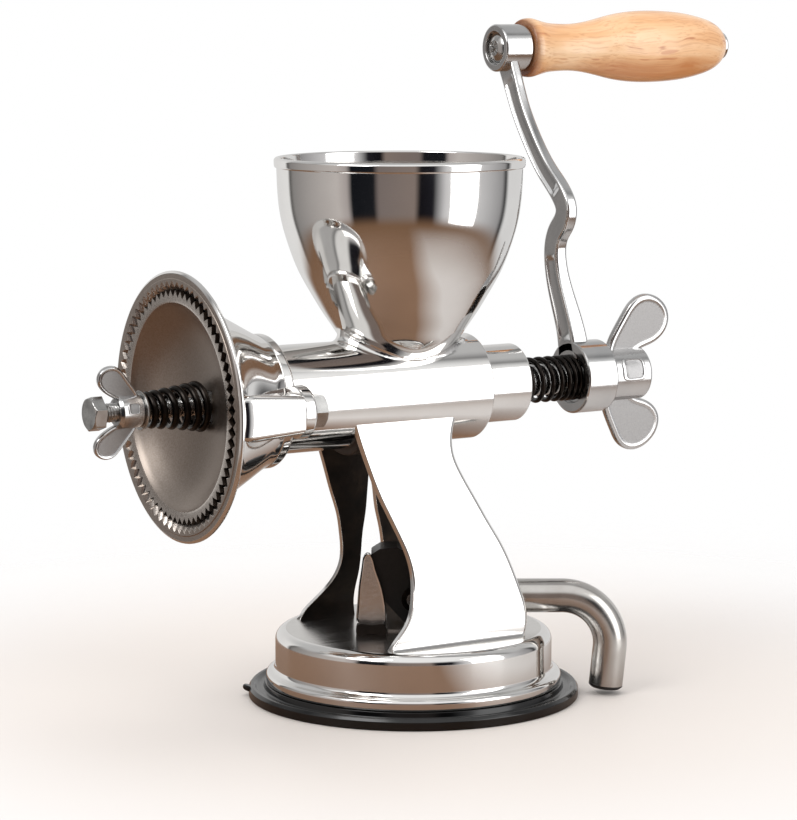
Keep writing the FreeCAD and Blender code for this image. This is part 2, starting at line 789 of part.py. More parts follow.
bell = face_of(bell_edges).revolve(vec(0, 0, 0), X_AXIS, 360)
bell_stud = known("bell_stud_radius")
stud_start = back - known("bell_stud_depth")
lug_reach = known("lug_reach")
lug_corners = [
    vec(known("lug_front"), 20, ear_lift - known("lug_front_half")),
    vec(known("lug_front"), 20, ear_lift + known("lug_front_half")),
    vec(back, 20, ear_lift + known("lug_rear_half")),
    vec(back, 20, ear_lift - known("lug_rear_half")),
]
lug = Part.Face(Part.makePolygon(lug_corners + lug_corners[:1])).extrude(vec(0, lug_reach - 20, 0))
long_edges = [e for e in lug.Edges if e.BoundBox.YMin > lug_reach - 1e-6 and e.BoundBox.XLength > 20]
lug = lug.makeFillet(known("lug_round"), long_edges)
for side in (-1, 1):
    ear = lug if side > 0 else lug.mirror(vec(0, 0, 0), vec(0, 1, 0))
    clear = [vec(back + 1, 0, 0), vec(back + 1, 22, 0), vec(back, 22, 0), vec(back - 6, 22, 0)]
    clear += [vec(face + 11.3, 40.5, 0), vec(face - 1, tip - 2, 0), vec(face - 1, 0, 0)]
    ear = ear.cut(spun(clear, X_AXIS))
    bell = bell.fuse(ear)
bell = bell.cut(star(tip, root, int(known("tooth_count")), face - 1, face + depth))
for side in (-1, 1):
    bell = bell.cut(rod(bell_stud, stud_start, back + 1, side * known("ear_offset"), ear_lift))
feature("grinding_bell", lifted(bell.removeSplitter()))

# Studs, washers and nuts that hold the bell to the barrel's ears
studs, nuts, washers = [], [], []
rear = known("ear_rear")
nut_height = known("bell_nut_height")
for side in (-1, 1):
    y = side * known("ear_offset")
    studs.append(lifted(rod(bell_stud, stud_start, rear + nut_height + 2.4, y, ear_lift)))
    washer = rod(known("bell_washer_radius"), rear, rear + 1, y, ear_lift)
    washers.append(lifted(washer.cut(rod(stud_hole, rear, rear + 1, y, ear_lift))))
    nut = chamfered_hexagon(known("bell_nut_flats"), rear + 1, rear + 1 + nut_height, y, ear_lift, 30)
    nuts.append(lifted(nut.cut(rod(bell_stud, rear, rear + 9, y, ear_lift))))
feature("bell_studs", Part.makeCompound(studs))
feature("bell_washers", Part.makeCompound(washers))
feature("bell_nuts", Part.makeCompound(nuts))

# Grinding cone: the toothed dish that turns inside the bell
front = known("cone_face")
floor = known("dish_floor")
dish = [(front + 0.5, known("dish_radius")), (front + 3.4, 40.6), (front + 7.4, 35), (front + 10.4, 28)]
dish += [(front + 12.2, 21), (floor, 14)]
dish_line = [vec(x, r, 0) for x, r in dish]
cone_tip = known("cone_tooth_tip")
rear_face = known("cone_rear")
cone_edges = [smooth(dish_line)]
cone_edges += straight([vec(front, cone_tip, 0), vec(front, known("dish_radius") + 0.8, 0), dish_line[0]])
cone_edges += straight([dish_line[-1], vec(floor, 5, 0), vec(rear_face, 5, 0), vec(rear_face, 14, 0)])
ring_back = front + known("cone_ring_thickness")
cone_edges += straight([vec(rear_face, 14, 0), vec(rear_face - 4, 17, 0), vec(ring_back + 0.9, 45.2, 0)])
cone_edges += straight([vec(ring_back + 0.9, 45.2, 0), vec(ring_back, 45.9, 0)])
cone_edges += straight([vec(ring_back, 45.9, 0), vec(ring_back, cone_tip, 0), vec(front, cone_tip, 0)])
cone = face_of(cone_edges).revolve(vec(0, 0, 0), X_AXIS, 360)
cone = cone.common(
    star(cone_tip, known("cone_tooth_root"), int(known("tooth_count")), front - 1, ring_back + 0.1)
    .fuse(rod(known("cone_tooth_root") - 0.4, ring_back, 0))
)
square = known("drive_square")
hole = square + 2 * known("running_gap") + 0.2
cone = cone.cut(Part.makeBox(40, hole, hole, vec(floor - 10, -hole / 2, -hole / 2)))
feature("grinding_cone", lifted(cone.removeSplitter()))

# Feed screw: one shaft with the screw thread, the square drive and the journal
core = known("screw_core")
shaft = rod(core, known("cone_rear") + 0.5, known("screw_rear") + 2)
square_corner = vec(floor, -square / 2, -square / 2)
shaft = shaft.fuse(Part.makeBox(known("cone_rear") + 1 - floor, square, square, square_corner))
shaft = shaft.fuse(rod(known("journal_radius"), known("screw_rear") + 1, known("hub_rear")))
shaft = shaft.fuse(rod(known("thread_radius"), known("hub_rear") - 1, known("shaft_end")))
flats = known("journal_flats")
hub_seat = known("hub_front") + known("hub_recess_depth")
for side in (-1, 1):
    block_low = flats / 2 if side > 0 else -flats / 2 - 10
    block = Part.makeBox(known("hub_rear") - hub_seat, 20, 10, vec(hub_seat, -10, block_low))
    block.rotate(vec(0, 0, 0), X_AXIS, known("crank_turn"))
    shaft = shaft.cut(block)
shaft = shaft.cut(rod(known("bolt_radius"), floor - 1, known("bolt_end") + 1))
first, last = known("screw_front"), known("screw_rear")
helix = Part.makeHelix(known("screw_pitch"), last - first, core)
helix.rotate(vec(0, 0, 0), Y_AXIS, 90)
helix.translate(vec(first, 0, 0))
start = helix.Vertexes[0].Point
inward = vec(0, start.y, start.z).normalize()
flight_half = 1.6
blade = [
    vec(start.x - flight_half, 0, 0).add(inward * (core - 1)),
    vec(start.x + flight_half, 0, 0).add(inward * (core - 1)),
    vec(start.x + 0.6 * flight_half, 0, 0).add(inward * known("screw_radius")),
    vec(start.x - 0.6 * flight_half, 0, 0).add(inward * known("screw_radius")),
]
flight = Part.Wire(helix).makePipeShell([Part.makePolygon(blade + blade[:1])], True, True)
shaft = shaft.fuse(flight)
feature("feed_screw", lifted(shaft.removeSplitter()))

# Adjusting bolt in the screw's front end
head = chamfered_hexagon(
    known("bolt_across_flats"), known("bolt_head_front"), known("bolt_head_rear"), 0, 0, 12, False
)
bolt = head.fuse(rod(known("bolt_radius"), known("bolt_head_rear") - 1, known("bolt_end")))
feature("adjusting_bolt", lifted(bolt.removeSplitter()))

# Washer between the front wing nut and the spring
washer_front = known("front_nut_rear") + 0.1
washer_rear = washer_front + known("front_washer_thickness")
turned(
    "front_washer",
    "X",
    [
        ("front_nut_rear + 0.1", "bolt_radius + thread_gap"),
        ("front_nut_rear + 0.1", "front_washer_radius"),
        ("front_nut_rear + 0.1 + front_washer_thickness", "front_washer_radius"),
        ("front_nut_rear + 0.1 + front_washer_thickness", "bolt_radius + thread_gap"),
    ],
    place=AXIS,
)


def wing(spots, half, bevel):
    """One flat wing in the X-Z plane, from a smooth outline, with bevelled edges."""
    outline = [vec(x, -half, r) for x, r in spots]
    edges = [smooth(outline)] + straight([outline[-1], outline[0]])
    plate = face_of(edges).extrude(vec(0, 2 * half, 0))
    rims = [e for e in plate.Edges if e.Length > 20]
    return plate.makeChamfer(bevel, rims)


# Front wing nut
nut_front, nut_rear = known("front_nut_front"), known("front_nut_rear")
nut_radius = known("front_nut_radius")
front_hub = spun(
    [
        vec(nut_front, 0, 0),
        vec(nut_front, nut_radius - 1.2, 0),
        vec(nut_front + 0.8, nut_radius - 0.4, 0),
        vec(nut_rear - 1, nut_radius, 0),
        vec(nut_rear, nut_radius - 0.4, 0),
        vec(nut_rear, 0, 0),
    ],
    X_AXIS,
)
front_wing = [(-133, 3.5), (-133.4, 6.4), (-138, 13.4), (-141.6, 17.6), (-145, 19.6), (-149, 19.2)]
front_wing += [(-151.8, 15.6), (-151, 11.2), (-148, 8.2), (-144, 5.7), (-139, 4.6), (-139, 3.5)]
upper = wing(front_wing, 1.5, 0.5)
lower = upper.mirror(vec(0, 0, 0), Z_AXIS)
nut = front_hub.fuse([upper, lower]).cut(rod(known("bolt_radius") + known("thread_gap"), -160, nut_rear + 1))
nut = nut.removeSplitter()
nut.rotate(vec(0, 0, 0), X_AXIS, known("nut_turn"))
feature("front_wing_nut", lifted(nut))

# Cone spring between the washer and the dish: it widens towards the dish
cone_wire = known("cone_wire") / 2
spring_from = washer_rear + 0.15 + cone_wire
spring_to = floor - 0.2 - cone_wire
cone_steps = [3.55, 4.6, 5.1, 5.0, 4.5, 3.55]


def stepped(start, end, steps):
    """Where the wire's centre lies along the spring, from the pitch of each turn."""
    whole = sum(steps)
    marks = [0.0]
    for s in steps:
        marks.append(marks[-1] + s * (end - start) / whole)
    knots = [FreeCAD.Vector(k, m, 0) for k, m in enumerate(marks)]
    curve = Part.BSplineCurve()
    curve.interpolate(Points=knots, Parameters=[float(k) for k in range(len(marks))])

    def along(u):
        u = min(max(u, 0.0), len(steps))
        return start + curve.value(u).y

    return along


cone_turns = len(cone_steps)
small, large = known("cone_spring_small"), known("cone_spring_large")
feature(
    "cone_spring",
    lifted(
        coil(
            cone_turns,
            stepped(spring_from, spring_to, cone_steps),
            lambda u: small + (large - small) * min(max(u / cone_turns, 0), 1) ** 1.15,
            cone_wire,
        )
    ),
)

# Rear collar, bearing bush, thrust washer and spring washer
turned(
    "rear_collar",
    "X",
    [
        ("collar_front", "bush_radius"),
        ("collar_front", "barrel_bore"),
        ("barrel_rear", "barrel_bore"),
        ("barrel_rear", "collar_radius"),
        ("collar_rear", "collar_radius"),
        ("collar_rear", "bush_radius"),
    ],
    place=AXIS,
    rounds={4: "0.8"},
)
turned(
    "rear_bushing",
    "X",
    [
        ("collar_front + 1.4", "journal_radius + running_gap"),
        ("collar_front + 1.4", "bush_radius"),
        ("collar_rear", "bush_radius"),
        ("collar_rear", "journal_radius + running_gap"),
    ],
    place=AXIS,
)
turned(
    "thrust_washer",
    "X",
    [
        ("screw_rear + 2.2", "journal_radius + running_gap"),
        ("screw_rear + 2.2", "bush_radius - 0.3"),
        ("collar_front + 1.2", "bush_radius - 0.3"),
        ("collar_front + 1.2", "journal_radius + running_gap"),
    ],
    place=AXIS,
)
turned(
    "spring_washer",
    "X",
    [
        ("collar_rear", "journal_radius + running_gap + 0.3"),
        ("collar_rear", "spring_washer_radius"),
        ("collar_rear + spring_washer_thickness", "spring_washer_radius"),
        ("collar_rear + spring_washer_thickness", "journal_radius + running_gap + 0.3"),
    ],
    place=AXIS,
)
rear_wire = known("rear_wire") / 2
rear_from = known("collar_rear") + known("spring_washer_thickness") + 0.2 + rear_wire
rear_steps = [5.4, 5.5, 5.0, 4.5, 3.5, 2.95, 2.85]
feature(
    "rear_spring",
    lifted(
        coil(
            len(rear_steps),
            stepped(rear_from, hub_seat - 0.15 - rear_wire, rear_steps),
            lambda u: known("rear_spring_radius"),
            rear_wire,
        )
    ),
)

# Crank arm: a flat bent bar between a hub and a boss, hollowed along both faces
hub_front, hub_rear = known("hub_front"), known("hub_rear")
length = known("crank_radius")
middle_line = [(0, 6), (-2.4, 18.9), (-2.2, 38.3), (-3.4, 52), (-6.4, 59.6), (-11.2, 64.4)]
middle_line += [(-17, 67.4), (-20.4, 71.6), (-19.6, 78.6), (-12.9, 91.8), (-5.6, 111.8), (-2.4, 126.1)]
middle_line += [(-1.2, 139.5), (0, length - 4)]
guide = Part.BSplineCurve()
guide.interpolate(Points=[vec(0, y, z) for y, z in middle_line])


def band(widths):
    """The two edges of the arm's outline, each half a width off its middle line."""
    left, right = [], []
    count = len(widths)
    first, last = guide.FirstParameter, guide.LastParameter
    for k, w in enumerate(widths):
        u = first + (last - first) * k / (count - 1)
        p = guide.value(u)
        t = guide.tangent(u)[0]
        left.append(vec(0, p.y - w / 2 * t.z, p.z + w / 2 * t.y))
        right.append(vec(0, p.y + w / 2 * t.z, p.z - w / 2 * t.y))
    return left, right


arm_width = [15, 13, 12, 11.6, 11.2, 10.8, 10.6, 10.6, 10.6, 10.4]
arm_width += [10.2, 10, 10, 10, 10, 10.2, 10.4, 10.8, 11.4, 12]
left, right = band(arm_width)
arm_ends = straight([left[0], right[0]]) + straight([left[-1], right[-1]])
flat = face_of([smooth(left), smooth(right)] + arm_ends)
flat.translate(vec(hub_front, 0, 0))
arm = flat.extrude(vec(12, 0, 0))
thickness = [(0, 9), (16, 8.6), (40, 7), (60, 6), (80, 5.6), (110, 5), (140, 4.8), (length, 4.8)]
slab_edge = [vec(hub_front + t, -60, z) for z, t in thickness]
slab_edges = [smooth(slab_edge)]
slab_corners = [slab_edge[-1], vec(hub_front, -60, length), vec(hub_front, -60, 0), slab_edge[0]]
slab_edges += straight(slab_corners)
arm = arm.common(face_of(slab_edges).extrude(vec(0, 120, 0)))
crank_hub = rod(known("hub_radius"), hub_front, hub_rear)
crank_hub = crank_hub.makeFillet(0.6, [e for e in crank_hub.Edges if e.BoundBox.XLength < 1e-6])
boss = rod(known("boss_radius"), known("boss_front"), known("boss_rear"), 0, length)
boss = boss.makeFillet(0.8, [e for e in boss.Edges if e.BoundBox.XLength < 1e-6])


def groove(low, high, inset, at, deep):
    """A recess along the arm, a margin inside its outline."""
    widths = []
    count = 24
    for k in range(count):
        u = k / (count - 1)
        w = arm_width[int(round(u * (len(arm_width) - 1)))] - 2 * inset
        widths.append(w)
    a, b = band(widths)
    keep_a = [p for p in a if low < p.z < high]
    keep_b = [p for p in b if low < p.z < high]
    groove_ends = straight([keep_a[0], keep_b[0]]) + straight([keep_a[-1], keep_b[-1]])
    floor_face = face_of([smooth(keep_a), smooth(keep_b)] + groove_ends)
    floor_face.translate(vec(at, 0, 0))
    return floor_face.extrude(vec(deep, 0, 0))


arm = arm.cut([groove(78, 146, 1.9, hub_front - 0.5, 1.6), groove(12, 57, 2.1, hub_front - 0.5, 1.6)])
arm = arm.fuse([crank_hub, boss]).removeSplitter()
flat_gap = flats + 2 * known("running_gap")
bore_hole = rod(known("journal_radius") + known("running_gap"), hub_front - 1, hub_rear + 1)
for side in (-1, 1):
    low_edge = flat_gap / 2 if side > 0 else -flat_gap / 2 - 10
    bore_hole = bore_hole.cut(Part.makeBox(hub_rear - hub_seat + 2, 20, 10, vec(hub_seat, -10, low_edge)))
arm = arm.cut(bore_hole)
arm = arm.cut(rod(known("hub_recess_radius"), hub_front - 1, hub_seat))
spindle = known("spindle_radius")
arm = arm.cut(rod(spindle, known("boss_front") - 1, known("boss_rear") + 1, 0, length))
recess = known("boss_front") + known("boss_recess_depth")
arm = arm.cut(rod(known("boss_recess_radius"), known("boss_front") - 1, recess, 0, length))
arm.rotate(vec(0, 0, 0), X_AXIS, known("crank_turn"))
feature("crank_arm", lifted(arm))


def on_crank(shape):
    """The shape moved from the X axis out to the grip's axis on the turned crank."""
    moved = shape.copy()
    moved.translate(vec(0, 0, length))
    moved.rotate(vec(0, 0, 0), X_AXIS, known("crank_turn"))
    return lifted(moved)


# Spindle and the domed screw that holds it in the boss
grip_end = known("grip_end")
bar = rod(spindle, known("boss_front") + 9, grip_end - 6)
head = rod(spindle + 2.4, grip_end - 6, grip_end - 2.6)
feature("grip_spindle", on_crank(bar.fuse(head).removeSplitter()))
dome = spun(
    [
        vec(recess + 6.4, 0, 0),
        vec(recess + 6.4, spindle, 0),
        vec(recess, spindle, 0),
        vec(recess, 6.6, 0),
        vec(recess - 1.2, 6.4, 0),
        vec(recess - 2.4, 4.8, 0),
        vec(recess - 3, 2.4, 0),
        vec(recess - 3.1, 0, 0),
    ],
    X_AXIS,
)
cross = Part.makeBox(3, 7, 1.3, vec(recess - 4.4, -3.5, -0.65))
cross = cross.fuse(Part.makeBox(3, 1.3, 7, vec(recess - 4.4, -0.65, -3.5)))
cross.rotate(vec(0, 0, 0), X_AXIS, 30)
feature("spindle_screw", on_crank(dome.cut(cross)))

# Wooden grip with its lining tube and end cap, free to spin on the spindle
grip_front = known("boss_rear") + 0.4
flange = known("grip_flange")
grip_line = [(grip_front + 1, flange - 0.3), (grip_front + 3.5, flange), (grip_front + 6, flange - 0.5)]
grip_line += [(grip_front + 9, 12.3), (grip_front + 12.6, 11.45), (grip_front + 18, 10.95)]
grip_line += [(grip_front + 24.5, 10.75), (grip_front + 31, 11.2), (grip_front + 40, 12.8)]
grip_line += [(grip_front + 50, 15), (grip_front + 60, 16.3), (grip_front + 69.4, known("grip_bulge"))]
grip_line += [(grip_front + 79, 16.45), (grip_front + 89, 15.6), (grip_front + 98.5, 13.8)]
grip_line += [(grip_end - 5.5, 11.2), (grip_end - 2, 8.8)]
grip_line = [vec(x, r, 0) for x, r in grip_line]
grip_edges = [smooth(grip_line)]
socket = known("end_cap_radius") - 1
sleeve = known("grip_bore") + 1
grip_edges += straight(
    [
        grip_line[-1],
        vec(grip_end, 6.9, 0),
        vec(grip_end, socket, 0),
        vec(grip_end - 10, socket, 0),
        vec(grip_end - 10, sleeve, 0),
        vec(grip_front, sleeve, 0),
        vec(grip_front, flange - 1, 0),
        grip_line[0],
    ]
)
grip = face_of(grip_edges).revolve(vec(0, 0, 0), X_AXIS, 360)
grip = grip.cut(rod(spindle + 2.8, grip_end - 10, grip_end + 1))
feature("wooden_grip", on_crank(grip))
lining = rod(known("grip_bore") + 1, grip_front, grip_end - 10)
lining = lining.cut(rod(spindle + known("running_gap"), grip_front, grip_end - 10))
feature("grip_lining", on_crank(lining))
cap = spun(
    [
        vec(grip_end, 0, 0),
        vec(grip_end, known("end_cap_radius"), 0),
        vec(grip_end + 1.4, known("end_cap_radius"), 0),
        vec(grip_end + 2.5, known("end_cap_radius") - 1.2, 0),
        vec(grip_end + 2.9, known("end_cap_radius") - 3.4, 0),
        vec(grip_end + 2.9, 0, 0),
    ],
    X_AXIS,
)
feature("grip_end_cap", on_crank(cap))

# Washer and wing nut that clamp the crank's hub
turned(
    "rear_washer",
    "X",
    [
        ("hub_rear + 0.1", "thread_radius + thread_gap"),
        ("hub_rear + 0.1", "rear_nut_radius - 0.4"),
        ("hub_rear + 0.1 + rear_washer_thickness", "rear_nut_radius - 0.4"),
        ("hub_rear + 0.1 + rear_washer_thickness", "thread_radius + thread_gap"),
    ],
    place=AXIS,
)
nut_from = hub_rear + 0.2 + known("rear_washer_thickness")
nut_to = known("rear_nut_rear")
radius = known("rear_nut_radius")
rear_hub = spun(
    [
        vec(nut_from, 0, 0),
        vec(nut_from, radius, 0),
        vec(nut_to - 1.2, radius, 0),
        vec(nut_to, radius - 1.2, 0),
        vec(nut_to, 0, 0),
    ],
    X_AXIS,
)
rear_wing = [(nut_from + 0.6, 8), (nut_from + 1.6, 13), (104.4, 22), (109.4, 31), (114, 35), (119.6, 36.2)]
rear_wing += [(126, 34.2), (131, 29), (132.4, 22.6), (129.6, 17), (124, 13.2), (118.6, 11.4), (115.6, 8)]
upper = wing(rear_wing, 2, 0.7)
lower = upper.mirror(vec(0, 0, 0), Z_AXIS)
nut = rear_hub.fuse([upper, lower]).cut(rod(known("thread_radius") + known("thread_gap"), 90, 140))
nut = nut.removeSplitter()
nut.rotate(vec(0, 0, 0), X_AXIS, known("nut_turn"))
feature("rear_wing_nut", lifted(nut))

doc.recompute()
bad = [o.Name for o in doc.Objects if "Invalid" in o.State or "Error" in o.State]
if bad:
    raise RuntimeError("failed objects: " + ", ".join(bad))
os.makedirs("parts", exist_ok=True)
for obj in parts:
    if obj.Shape.isNull() or not obj.Shape.isValid():
        raise RuntimeError("bad shape: " + obj.Label)
for obj in parts:
    obj.Shape.exportStep("parts/%s.step" % obj.Label)
    print(obj.Label, "solids", len(obj.Shape.Solids), "volume", round(obj.Shape.Volume))
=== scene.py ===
import math

import bmesh
import bpy
import numpy as np
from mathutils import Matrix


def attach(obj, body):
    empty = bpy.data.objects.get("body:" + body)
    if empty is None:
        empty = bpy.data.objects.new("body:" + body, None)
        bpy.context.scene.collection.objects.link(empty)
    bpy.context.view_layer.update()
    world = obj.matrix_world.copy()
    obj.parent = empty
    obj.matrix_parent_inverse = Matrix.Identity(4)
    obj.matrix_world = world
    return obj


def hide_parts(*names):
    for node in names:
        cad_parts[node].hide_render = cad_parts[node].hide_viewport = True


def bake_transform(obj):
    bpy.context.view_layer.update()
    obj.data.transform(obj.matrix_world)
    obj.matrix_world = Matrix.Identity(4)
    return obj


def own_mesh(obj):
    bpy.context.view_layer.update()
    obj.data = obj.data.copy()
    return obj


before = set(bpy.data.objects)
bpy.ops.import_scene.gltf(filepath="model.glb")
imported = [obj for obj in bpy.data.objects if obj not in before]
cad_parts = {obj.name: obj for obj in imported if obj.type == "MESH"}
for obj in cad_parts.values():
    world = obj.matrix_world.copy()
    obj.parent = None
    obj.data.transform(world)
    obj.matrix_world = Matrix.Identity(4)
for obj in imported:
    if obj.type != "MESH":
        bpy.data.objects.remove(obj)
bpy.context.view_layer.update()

# A hand-cranked grinder on a suction base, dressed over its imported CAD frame.
# Sizes are in millimetres and degrees until a mesh is made. Origin: centre of the
# pad's underside. +X to the crank, +Z up, -Y to the viewer.
MM = 0.001
AXIS_HEIGHT = 134.0
AXIS = np.array([0.0, 0.0, AXIS_HEIGHT])
LEVER_YAW = -31.2
CRANK_TURN = -21.7
CRANK_RADIUS = 156.0
NUT_TURN = 8.0
PLATE_TURN = 164.0
LEVER_AXIS_HEIGHT = 43.4
BARREL_RADIUS = 23.0
GRIP_TURN = math.radians(CRANK_TURN)
GRIP_AXIS = AXIS + CRANK_RADIUS * np.array([0.0, -math.sin(GRIP_TURN), math.cos(GRIP_TURN)])


def curve(points, count):
    """A smooth line through the points: a natural cubic spline over the length between them."""
    p = np.array(points, float)
    t = np.concatenate(([0.0], np.cumsum(np.linalg.norm(np.diff(p, axis=0), axis=1))))
    h = np.diff(t)
    n = len(p)
    inner = np.arange(1, n - 1)
    system = np.zeros((n, n))
    system[0, 0] = system[-1, -1] = 1.0
    system[inner, inner - 1] = h[:-1]
    system[inner, inner] = 2 * (h[:-1] + h[1:])
    system[inner, inner + 1] = h[1:]
    slope = np.diff(p, axis=0) / h[:, None]
    right = np.zeros_like(p)
    right[1:-1] = 6 * np.diff(slope, axis=0)
    bend = np.linalg.solve(system, right)
    s = np.linspace(0.0, t[-1], count)
    k = np.clip(np.searchsorted(t, s, "right") - 1, 0, n - 2)
    u = (s - t[k])[:, None]
    w = h[k][:, None]
    cubic = (bend[k] * (w - u) ** 3 + bend[k + 1] * u ** 3) / (6 * w)
    return cubic + (p[k] / w - bend[k] * w / 6) * (w - u) + (p[k + 1] / w - bend[k + 1] * w / 6) * u


def closed_curve(points, count):
    """A smooth closed line: the middle lap of the spline through three laps of the points."""
    p = np.array(points, float)
    laps = np.vstack([p, p, p, p[:1]])
    fine = curve(laps, 3 * 40 * len(p) + 1)
    length = np.concatenate(([0.0], np.cumsum(np.linalg.norm(np.diff(fine, axis=0), axis=1))))
    s = length[-1] / 3 * (1 + np.arange(count) / count)
    return np.stack([np.interp(s, length, fine[:, 0]), np.interp(s, length, fine[:, 1])], axis=1)


def rounded(corners, steps=5, closed=True):
    """A line through corners (a, b, radius), each corner replaced by the arc that
    touches both of its sides."""
    spots = np.array([c[:2] for c in corners], float)
    line = []
    for k, corner in enumerate(corners):
        radius = corner[2] if len(corner) > 2 else 0.0
        if radius == 0.0 or (not closed and k in (0, len(corners) - 1)):
            line.append(spots[k][None])
            continue
        back = spots[k - 1] - spots[k]
        ahead = spots[(k + 1) % len(spots)] - spots[k]
        back, ahead = back / np.linalg.norm(back), ahead / np.linalg.norm(ahead)
        half = math.acos(np.clip(back @ ahead, -1, 1)) / 2
        centre = spots[k] + (back + ahead) / np.linalg.norm(back + ahead) * radius / math.sin(half)
        first = spots[k] + back * radius / math.tan(half) - centre
        last = spots[k] + ahead * radius / math.tan(half) - centre
        sweep = math.pi - 2 * half
        u = np.linspace(0.0, 1.0, steps + 1)[:, None]
        line.append(centre + (np.sin((1 - u) * sweep) * first + np.sin(u * sweep) * last) / math.sin(sweep))
    return np.vstack(line)


def turned(line, axis="X", count=160, swell=0.0):
    """A turned surface: each point (distance along the axis, radius + swell) goes round in equal steps."""
    angle = 2 * math.pi * np.arange(count) / count
    radius = line[:, 1, None] + swell + 0 * angle
    along = line[:, 0, None] + 0 * radius
    around = radius * np.cos(angle), radius * np.sin(angle)
    order = (along, *around) if axis == "X" else (*around, along)
    return np.stack(order, axis=-1)


def turned_about(points, degrees, axis="X"):
    """The points turned about an axis through the origin."""
    a = math.radians(degrees)
    c, s = math.cos(a), math.sin(a)
    if axis == "X":
        matrix = np.array([[1, 0, 0], [0, c, -s], [0, s, c]])
    else:
        matrix = np.array([[c, -s, 0], [s, c, 0], [0, 0, 1]])
    return points @ matrix.T


def swept(path, side, section):
    """A section carried along a path: its first measure runs along side, its second across side and path."""
    tangent = np.gradient(path, axis=0)
    tangent /= np.linalg.norm(tangent, axis=1)[:, None]
    side = np.broadcast_to(side, path.shape)
    side = side - tangent * np.sum(side * tangent, axis=1)[:, None]
    side = side / np.linalg.norm(side, axis=1)[:, None]
    across = np.cross(tangent, side)
    section = np.broadcast_to(section, (len(path),) + section.shape[-2:])
    return path[:, None] + section[..., :1] * side[:, None] + section[..., 1:] * across[:, None]


def inset(outline, distance):
    """A closed outline moved inward by a distance, along the normals of its neighbours' chord."""
    chord = np.roll(outline, -1, axis=0) - np.roll(outline, 1, axis=0)
    normal = np.stack([-chord[:, 1], chord[:, 0]], axis=1)
    normal /= np.linalg.norm(normal, axis=1)[:, None]
    x, y = outline.T
    area = np.sum(x * np.roll(y, -1) - np.roll(x, -1) * y)
    return outline + math.copysign(distance, area) * normal


def plate(outline, levels):
    """A flat plate across Y: its outline, inset and lifted by each level (inset, height) in turn."""
    rows = []
    for depth, lift in levels:
        flat = inset(outline, depth) if depth else outline
        rows.append(np.stack([flat[:, 0], np.full(len(flat), lift), flat[:, 1]], axis=1))
    return np.stack(rows)


def shell(points, ring=False, loop=True, ends=False, paint=0, end_paint=None):
    """Faces over a grid of points. ring joins the last row to the first, loop the last
    column to the first, and ends closes the first and last row with a face each."""
    rows, columns = points.shape[:2]
    index = np.arange(rows * columns).reshape(rows, columns)
    if ring:
        index = np.vstack([index, index[:1]])
    if loop:
        index = np.hstack([index, index[:, :1]])
    quads = np.stack([index[:-1, :-1], index[1:, :-1], index[1:, 1:], index[:-1, 1:]], axis=-1)
    marks = np.broadcast_to(np.asarray(paint), quads.shape[:2]).ravel()
    faces = quads.reshape(-1, 4).tolist()
    marks = marks.tolist()
    if ends:
        faces += [list(range(columns)), list(range((rows - 1) * columns, rows * columns))]
        marks += [end_paint if end_paint is not None else 0] * 2
    return {"points": points.reshape(-1, 3), "faces": faces, "paint": marks}


def ring_of(line, count, middle=AXIS):
    """A closed line turned about X into a ring, round its middle."""
    return shell(turned(line, "X", count) + middle, ring=True)


def mesh_of(name, shells):
    """A mesh from its shells, with doubles merged and faces outward."""
    points, faces, paint = [], [], []
    start = 0
    for s in shells:
        points.append(s["points"])
        faces += [[i + start for i in face] for face in s["faces"]]
        paint += s["paint"]
        start += len(s["points"])
    mesh = bpy.data.meshes.new(name)
    mesh.from_pydata((np.vstack(points) * MM).tolist(), [], faces)
    mesh.polygons.foreach_set("material_index", paint)
    work = bmesh.new()
    work.from_mesh(mesh)
    bmesh.ops.remove_doubles(work, verts=work.verts, dist=1e-6)
    bmesh.ops.recalc_face_normals(work, faces=work.faces)
    work.to_mesh(mesh)
    work.free()
    return mesh


def piece(name, shells, body, coats, stands_for=(), sharp=33):
    """Makes one piece: smooth except at edges sharper than so many degrees. It rides on
    the named body. Given two bodies and points instead, it stays where it is made, and they are not used."""
    mesh = mesh_of(name, shells)
    mesh.polygons.foreach_set("use_smooth", np.ones(len(mesh.polygons), bool))
    mesh.set_sharp_from_angle(angle=math.radians(sharp))
    for coat in coats:
        mesh.materials.append(coat)
    made = bpy.data.objects.new(name, mesh)
    bpy.context.collection.objects.link(made)
    even = made.modifiers.new("even_normals", "WEIGHTED_NORMAL")
    even.keep_sharp = True
    if isinstance(body, str):
        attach(made, body)
    else:
        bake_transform(made)
    if stands_for:
        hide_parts(*stands_for)
    return made


def linear(code):
    """A colour socket's value from an sRGB hex code."""
    parts = np.array([int(code[i:i + 2], 16) for i in (1, 3, 5)]) / 255
    parts = np.where(parts <= 0.04045, parts / 12.92, ((parts + 0.055) / 1.055) ** 2.4)
    return (*parts.tolist(), 1.0)


def add(tree, kind, inputs=(), stops=None, **settings):
    """Adds a node with its properties, its sockets' values or links, and a ramp's stops."""
    made = tree.nodes.new(kind)
    for key, value in settings.items():
        setattr(made, key, value)
    for key, value in dict(inputs).items():
        if isinstance(value, bpy.types.NodeSocket):
            tree.links.new(value, made.inputs[key])
        else:
            made.inputs[key].default_value = value
    if stops:
        ramp = made.color_ramp
        while len(ramp.elements) < len(stops):
            ramp.elements.new(1.0)
        for element, (spot, code) in zip(ramp.elements, stops):
            element.position = spot
            element.color = linear(code)
    return made


def finish(name, constants):
    """A new material: its node tree, its shader with the constants on its own sockets, and its place."""
    coat = bpy.data.materials.new(name)
    coat.use_nodes = True
    tree = coat.node_tree
    shader = tree.nodes["Principled BSDF"]
    for key, value in constants.items():
        shader.inputs[key].default_value = value
    place = add(tree, "ShaderNodeTexCoord").outputs["Object"]
    return coat, tree, shader, place


